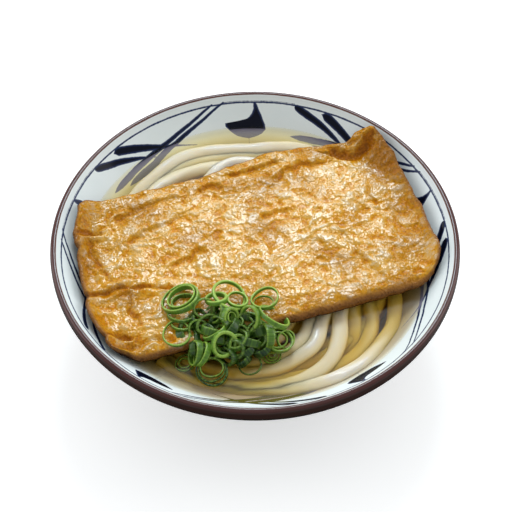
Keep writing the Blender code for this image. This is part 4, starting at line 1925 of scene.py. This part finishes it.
@dataclass
class OnionHeap:
    """Rings of green onion dropped in a loose heap over the front edge of the tofu."""

    finish: CutGreenOnion = field(default_factory=CutGreenOnion)
    centre: tuple[float, float] = (-14.0, -53.0)
    half_length: float = 24.0
    half_width: float = 15.0
    base: float = 57.0
    crown: float = 65.5
    fillers: int = 46
    filler_turn: float = 137.508
    # The last range sets how dark the rings are: kept low, a painted shade inside the heap.
    filler_cuts: tuple[tuple[float, float], ...] = (
        (4.2, 6.6), (10, 70), (-180, 180), (1.1, 1.7), (3.0, 5.0), (0.75, 0.95), (0.0, 0.35),
    )
    corner: float = 0.24
    points: int = 44
    seed: int = 5

    def upper(self) -> list[OnionRing]:
        """The rings on the tofu and on the crown of the heap."""
        return [
            OnionRing((-37.5, -36.5, 68.0), 10.5, 26, 148, 1.1, 3.2, 0.96, 0.55),
            OnionRing((-37.0, -35.6, 68.0), 8.3, 26, 150, 0.9, 3.0, 0.90, 0.75),
            OnionRing((-36.5, -37.2, 66.6), 6.2, 20, 130, 0.8, 2.6, 0.85, 0.40),
            OnionRing((-36.7, -44.3, 65.5), 7.6, 22, 90, 0.9, 1.8, 0.90, 0.35),
            OnionRing((-36.2, -48.4, 64.5), 6.3, 8, 90, 0.9, 1.6, 0.97, 0.45),
            OnionRing((-39.3, -55.7, 65.0), 7.4, 7, -114, 0.9, 1.6, 0.98, 0.60),
            OnionRing((-26.0, -42.7, 68.8), 5.7, 48, -60, 1.2, 3.0, 0.95, 0.35),
            OnionRing((-19.6, -37.9, 70.0), 6.2, 26, 107, 1.5, 2.6, 0.90, 0.90),
            OnionRing((-13.0, -35.2, 69.4), 9.8, 20, 23, 1.5, 1.8, 0.95, 0.95),
            OnionRing((-9.0, -37.8, 69.4), 5.8, 12, 51, 1.1, 1.8, 0.90, 0.85),
            OnionRing((5.0, -35.6, 67.5), 7.4, 8, 137, 0.9, 2.2, 0.95, 0.75),
            OnionRing((4.2, -37.4, 66.4), 5.4, 14, 100, 0.5, 1.2, 0.90, 0.60),
            OnionRing((-19.0, -45.4, 67.8), 5.6, 50, -168, 1.3, 3.4, 0.95, 0.35),
            OnionRing((-12.9, -48.0, 69.0), 5.0, 58, -29, 1.6, 3.6, 0.95, 0.60),
            OnionRing((-12.6, -48.2, 68.8), 3.2, 58, -29, 0.9, 3.0, 0.90, 0.85),
            OnionRing((-2.7, -48.3, 68.3), 6.7, 52, -142, 1.7, 2.6, 0.95, 0.65),
            OnionRing((-3.6, -49.9, 66.0), 6.7, 9, -90, 1.2, 2.2, 0.95, 0.30),
            OnionRing((9.4, -47.0, 67.0), 9.3, 43, 42, 1.2, 2.8, 0.92, 0.60),
            OnionRing((5.5, -56.6, 63.0), 7.5, 74, -167, 1.2, 4.2, 0.95, 0.45),
        ]

    def lower(self) -> list[OnionRing]:
        """The rings on the noodles, at the broth and just under it."""
        return [
            OnionRing((-15.5, -63.6, 67.0), 7.2, 47, -48, 1.9, 3.0, 0.95, 0.65),
            OnionRing((-8.6, -61.7, 63.5), 5.9, 45, -51, 1.5, 3.0, 0.92, 0.35),
            OnionRing((-20.1, -55.8, 66.0), 6.6, 42, 132, 1.2, 2.6, 0.90, 0.55),
            OnionRing((12.1, -57.4, 61.5), 7.3, 13, -29, 1.2, 2.6, 0.95, 0.40),
            OnionRing((11.4, -57.0, 61.0), 5.0, 20, -60, 0.9, 2.2, 0.90, 0.60),
            OnionRing((15.4, -55.9, 60.0), 5.1, 33, -42, 0.9, 2.0, 0.92, 0.50),
            OnionRing((-29.6, -65.4, 62.0), 6.9, 69, -173, 1.2, 3.2, 0.92, 0.45),
            OnionRing((-26.3, -66.1, 62.0), 6.9, 59, 174, 1.2, 3.0, 0.92, 0.65),
            # The rings at the broth are set dark: painted shade.
            OnionRing((-21.5, -73.7, 57.6), 8.1, 22, -90, 1.1, 2.6, 0.95, 0.05),
            OnionRing((-21.6, -73.1, 58.4), 6.9, 18, -90, 0.8, 1.8, 0.95, 0.15),
            OnionRing((-21.6, -72.4, 59.4), 5.9, 15, -90, 0.9, 1.8, 0.95, 0.35),
            OnionRing((-2.8, -68.1, 56.4), 6.3, 12, -90, 0.8, 1.6, 0.98, 0.15),
            OnionRing((8.3, -62.0, 54.2), 4.8, 4, -60, 0.7, 1.6, 0.97, 0.35),
            OnionRing((8.3, -62.0, 54.3), 3.3, 4, -60, 0.6, 1.5, 0.97, 0.55),
            OnionRing((8.4, -62.0, 54.3), 1.9, 4, -60, 0.6, 1.5, 0.97, 0.65),
            OnionRing((-35.2, -66.4, 53.9), 5.2, 6, 140, 0.7, 1.6, 0.97, 0.30),
            OnionRing((-35.2, -66.4, 54.0), 3.4, 6, 140, 0.6, 1.5, 0.97, 0.50),
        ]

    def filling(self) -> list[OnionRing]:
        """The rings inside the heap, which the others lie on.

        Returns:
            The rings, in a spiral from the middle out.
        """
        pick = random.Random(self.seed)
        rings = []
        for k in range(self.fillers):
            share = math.sqrt((k + 0.5) / self.fillers)
            angle = k * math.radians(self.filler_turn)
            x = self.centre[0] + self.half_length * share * math.cos(angle)
            y = self.centre[1] + self.half_width * share * math.sin(angle)
            z = self.base + (self.crown - self.base) * (1 - share**2) ** 0.6 + pick.uniform(-1.5, 1.0)
            cuts = [pick.uniform(*span) for span in self.filler_cuts]
            rings.append(OnionRing((x, y, z), *cuts))
        return rings

    def loops(self, rings: Sequence[OnionRing]) -> bpy.types.Mesh:
        """Draw each ring's middle line as a closed loop of edges with its sizes on every point.

        Args:
            rings: The rings.

        Returns:
            The loops that the ring tree turns into onion.
        """
        pick = random.Random(self.seed + 1)
        angles = np.arange(self.points) * math.tau / self.points
        places, outward, axes, veins, walls, lengths, tones = [], [], [], [], [], [], []
        edges: list[tuple[int, int]] = []
        for ring in rings:
            side, up, axis = ring.frame()
            spin = pick.uniform(0, math.tau)
            cos, sin = np.cos(angles), np.sin(angles)
            swell = 1 + 0.035 * np.sin(2 * angles + spin) + 0.022 * np.sin(3 * angles + 2 * spin)
            radius = (ring.radius - ring.wall / 2) * swell
            across = np.outer(radius * cos, side) + np.outer(radius * sin * ring.squash, up)
            rise = 0.10 * ring.length * np.sin(angles + 3 * spin) + 0.18 * np.sin(2 * angles + spin)
            first = len(edges)
            places.append(np.array(ring.place) + across + np.outer(rise, axis))
            outward.append(across / np.linalg.norm(across, axis=1, keepdims=True))
            axes.append(np.tile(axis, (self.points, 1)))
            veins.append(np.stack([ring.radius * cos, ring.radius * sin, np.full(self.points, 40 * spin)], 1))
            walls.append(ring.wall * (1 + 0.18 * np.sin(angles + 5 * spin)))
            lengths.append(ring.length * (1 + 0.14 * np.sin(angles + spin)))
            tones.append(np.full(self.points, ring.tone))
            edges += [(first + k, first + (k + 1) % self.points) for k in range(self.points)]
        mesh = bpy.data.meshes.new("green_onion_loops")
        mesh.from_pydata((np.concatenate(places) * MM).tolist(), edges, [])
        for name, rows in (("outward", outward), ("axis", axes), ("vein", veins)):
            layer = mesh.attributes.new(name, "FLOAT_VECTOR", "POINT")
            layer.data.foreach_set("vector", np.concatenate(rows).astype(np.float32).ravel())
        for name, rows in (("wall", walls), ("length", lengths), ("tone", tones)):
            layer = mesh.attributes.new(name, "FLOAT", "POINT")
            scale = 1.0 if name == "tone" else MM
            layer.data.foreach_set("value", (np.concatenate(rows) * scale).astype(np.float32))
        return mesh

    def ring_tree(self) -> bpy.types.NodeTree:
        """Node tree that gives every loop its wall and its length.

        Returns:
            The tree, whose inputs are Corner and Finish.
        """
        tree, add = new_tree("green_onion_ring", {"Corner": 0.2})
        given = add("NodeGroupInput").outputs
        here = add("GeometryNodeInputPosition")
        lines = add("GeometryNodeMeshToCurve", {"Mesh": given["Geometry"]})
        noted = add(
            "GeometryNodeStoreNamedAttribute", {"Geometry": lines, "Name": "spot", "Value": here},
            data_type="FLOAT_VECTOR",
        )
        square = add("GeometryNodeCurvePrimitiveQuadrilateral", {"Width": 1.0, "Height": 1.0})
        rounded = add(
            "GeometryNodeFilletCurve", {"Curve": square, "Count": 2, "Radius": given["Corner"]}, mode="POLY"
        )
        section = add(
            "GeometryNodeStoreNamedAttribute", {"Geometry": rounded, "Name": "section", "Value": here},
            data_type="FLOAT_VECTOR",
        )
        swept = add("GeometryNodeCurveToMesh", {"Curve": noted, "Profile Curve": section})
        kinds = dict.fromkeys(("spot", "section", "outward", "axis"), "FLOAT_VECTOR")
        kinds |= dict.fromkeys(("wall", "length"), "FLOAT")
        marks = {
            name: add("GeometryNodeInputNamedAttribute", {"Name": name}, data_type=kind).outputs["Attribute"]
            for name, kind in kinds.items()
        }
        part = add("SeparateXYZ", {0: marks["section"]}).outputs
        thick = add("Math", {0: part["X"], 1: marks["wall"]}, operation="MULTIPLY")
        tall = add("Math", {0: part["Y"], 1: marks["length"]}, operation="MULTIPLY")
        out = add("VectorMath", {0: marks["outward"], "Scale": thick}, operation="SCALE")
        along = add("VectorMath", {0: marks["axis"], "Scale": tall}, operation="SCALE")
        moved = add("VectorMath", {0: marks["spot"], 1: out}, operation="ADD")
        final = add("VectorMath", {0: moved, 1: along}, operation="ADD")
        shaped = add("GeometryNodeSetPosition", {"Geometry": swept, "Position": final})
        high = add("Math", {0: part["Y"]}, operation="ABSOLUTE")
        shown = add("MapRange", {"Value": high, "From Min": 0.36, "From Max": 0.47})
        marked = add(
            "GeometryNodeStoreNamedAttribute", {"Geometry": shaped, "Name": "cut", "Value": shown},
            data_type="FLOAT",
        )
        end_tree(add, marked, given["Finish"])
        return tree

    def build(self) -> bpy.types.Object:
        """Make every ring in one mesh.

        Returns:
            The piece.
        """
        loops = self.loops(self.upper() + self.lower() + self.filling())
        values = {"Corner": self.corner, "Finish": self.finish.make()}
        heap = grown_piece("green_onion_slices", loops, self.ring_tree(), values)
        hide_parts("green_onion")
        return heap


# ---------------------------------------------------------------- stage


@dataclass
class Studio:
    """Pale floor, soft lights and the camera."""

    aim: tuple[float, float, float] = (0.0, 0.0, 70.0)
    elevation: float = 51.622
    distance: float = 942.6
    lens: float = 128.1
    shift_x: float = 0.00175
    shift_y: float = -0.03086
    sensor: float = 36.0
    table: float = 4000.0
    lit_height: float = 60.0

    def floor(self) -> None:
        """A wide matt white acrylic table, lit softly from below so that shadows stay pale."""
        material, add = new_material("backlit_white_acrylic")
        shader = add(
            "BsdfPrincipled",
            {
                "Base Color": linear("F4F4F2"), "Roughness": 0.9, "Specular IOR Level": 0.1,
                "Emission Color": linear("FFFFFF"), "Emission Strength": 0.45,
            },
        )
        add("OutputMaterial", {"Surface": shader})
        turns = ((-1, -1), (1, -1), (1, 1), (-1, 1))
        corners = np.array([(x * self.table, y * self.table, 0) for x, y in turns])
        floor = mesh_piece("floor", corners, [(0, 1, 2, 3)], material)

    def light(
        self,
        name: str,
        place: tuple[float, float, float],
        size: tuple[float, float],
        power: float,
        colour: str = "FFFFFF",
    ) -> None:
        """Add one soft light aimed at the bowl.

        Args:
            name: The light's name.
            place: Where it hangs, in millimetres.
            size: Its width and height in millimetres.
            power: Watts.
            colour: Its hex colour.
        """
        lamp = bpy.data.lights.new(name, "AREA")
        lamp.shape = "RECTANGLE"
        lamp.size, lamp.size_y = size[0] * MM, size[1] * MM
        lamp.energy = power
        lamp.color = linear(colour)[:3]
        holder = bpy.data.objects.new(name, lamp)
        holder.location = Vector(place) * MM
        holder.rotation_mode = "QUATERNION"
        away = Vector(place) - Vector((0, 0, self.lit_height))
        holder.rotation_quaternion = away.to_track_quat("Z", "Y")
        bpy.context.scene.collection.objects.link(holder)

    def build(self) -> None:
        """Set the stage."""
        self.floor()
        world = bpy.data.worlds.new("soft_room")
        world.use_nodes = True
        world.node_tree.nodes.clear()
        add = partial(add_node, world.node_tree)
        sky = add("Background", {"Color": linear("F0F5FA"), "Strength": 0.58})
        add("OutputWorld", {"Surface": sky})
        bpy.context.scene.world = world
        self.light("sheen_softbox", (50, 800, 1010), (480, 380), 6.9, "E6F6FF")
        self.light("back_softbox", (-100, 1500, 600), (1500, 400), 6.5)
        self.light("left_softbox", (-1300, 380, 700), (1000, 1100), 6.6)
        self.light("right_softbox", (1300, 380, 700), (1000, 1100), 7.2)
        bpy.context.scene.view_settings.view_transform = "Standard"
        camera = bpy.data.cameras.new("camera")
        camera.lens = self.lens
        camera.sensor_width = self.sensor
        camera.shift_x, camera.shift_y = self.shift_x, self.shift_y
        camera.clip_start, camera.clip_end = 0.05, 20.0
        holder = bpy.data.objects.new("camera", camera)
        lift = math.radians(self.elevation)
        back = Vector((0, -math.cos(lift), math.sin(lift)))
        holder.location = (Vector(self.aim) + back * self.distance) * MM
        holder.rotation_euler = Euler((math.radians(90 - self.elevation), 0, 0))
        bpy.context.scene.collection.objects.link(holder)
        bpy.context.scene.camera = holder


def triangles(piece: bpy.types.Object) -> int:
    """Number of triangles in a mesh piece."""
    return sum(len(face.vertices) - 2 for face in piece.data.polygons)


def main() -> None:
    """Build each piece of the dish, then the stage."""
    logging.basicConfig(level=logging.INFO, format="%(name)s: %(message)s")
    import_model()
    builders: list[tuple[str, Callable[[], object]]] = [
        ("stoneware bowl", StonewareBowl().build),
        ("clear broth", Broth().build),
        ("udon noodles", NoodleNest().build),
        ("fried tofu", FriedTofuSheet().build),
        ("green onion", OnionHeap().build),
    ]
    for title, build in builders:
        made = build()
        for piece in made if isinstance(made, list) else [made]:
            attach(piece, BODY)
            LOG.info("%s: %s has %d triangles", title, piece.name, triangles(piece))
    Studio().build()


if __name__ == "__main__":
    main()
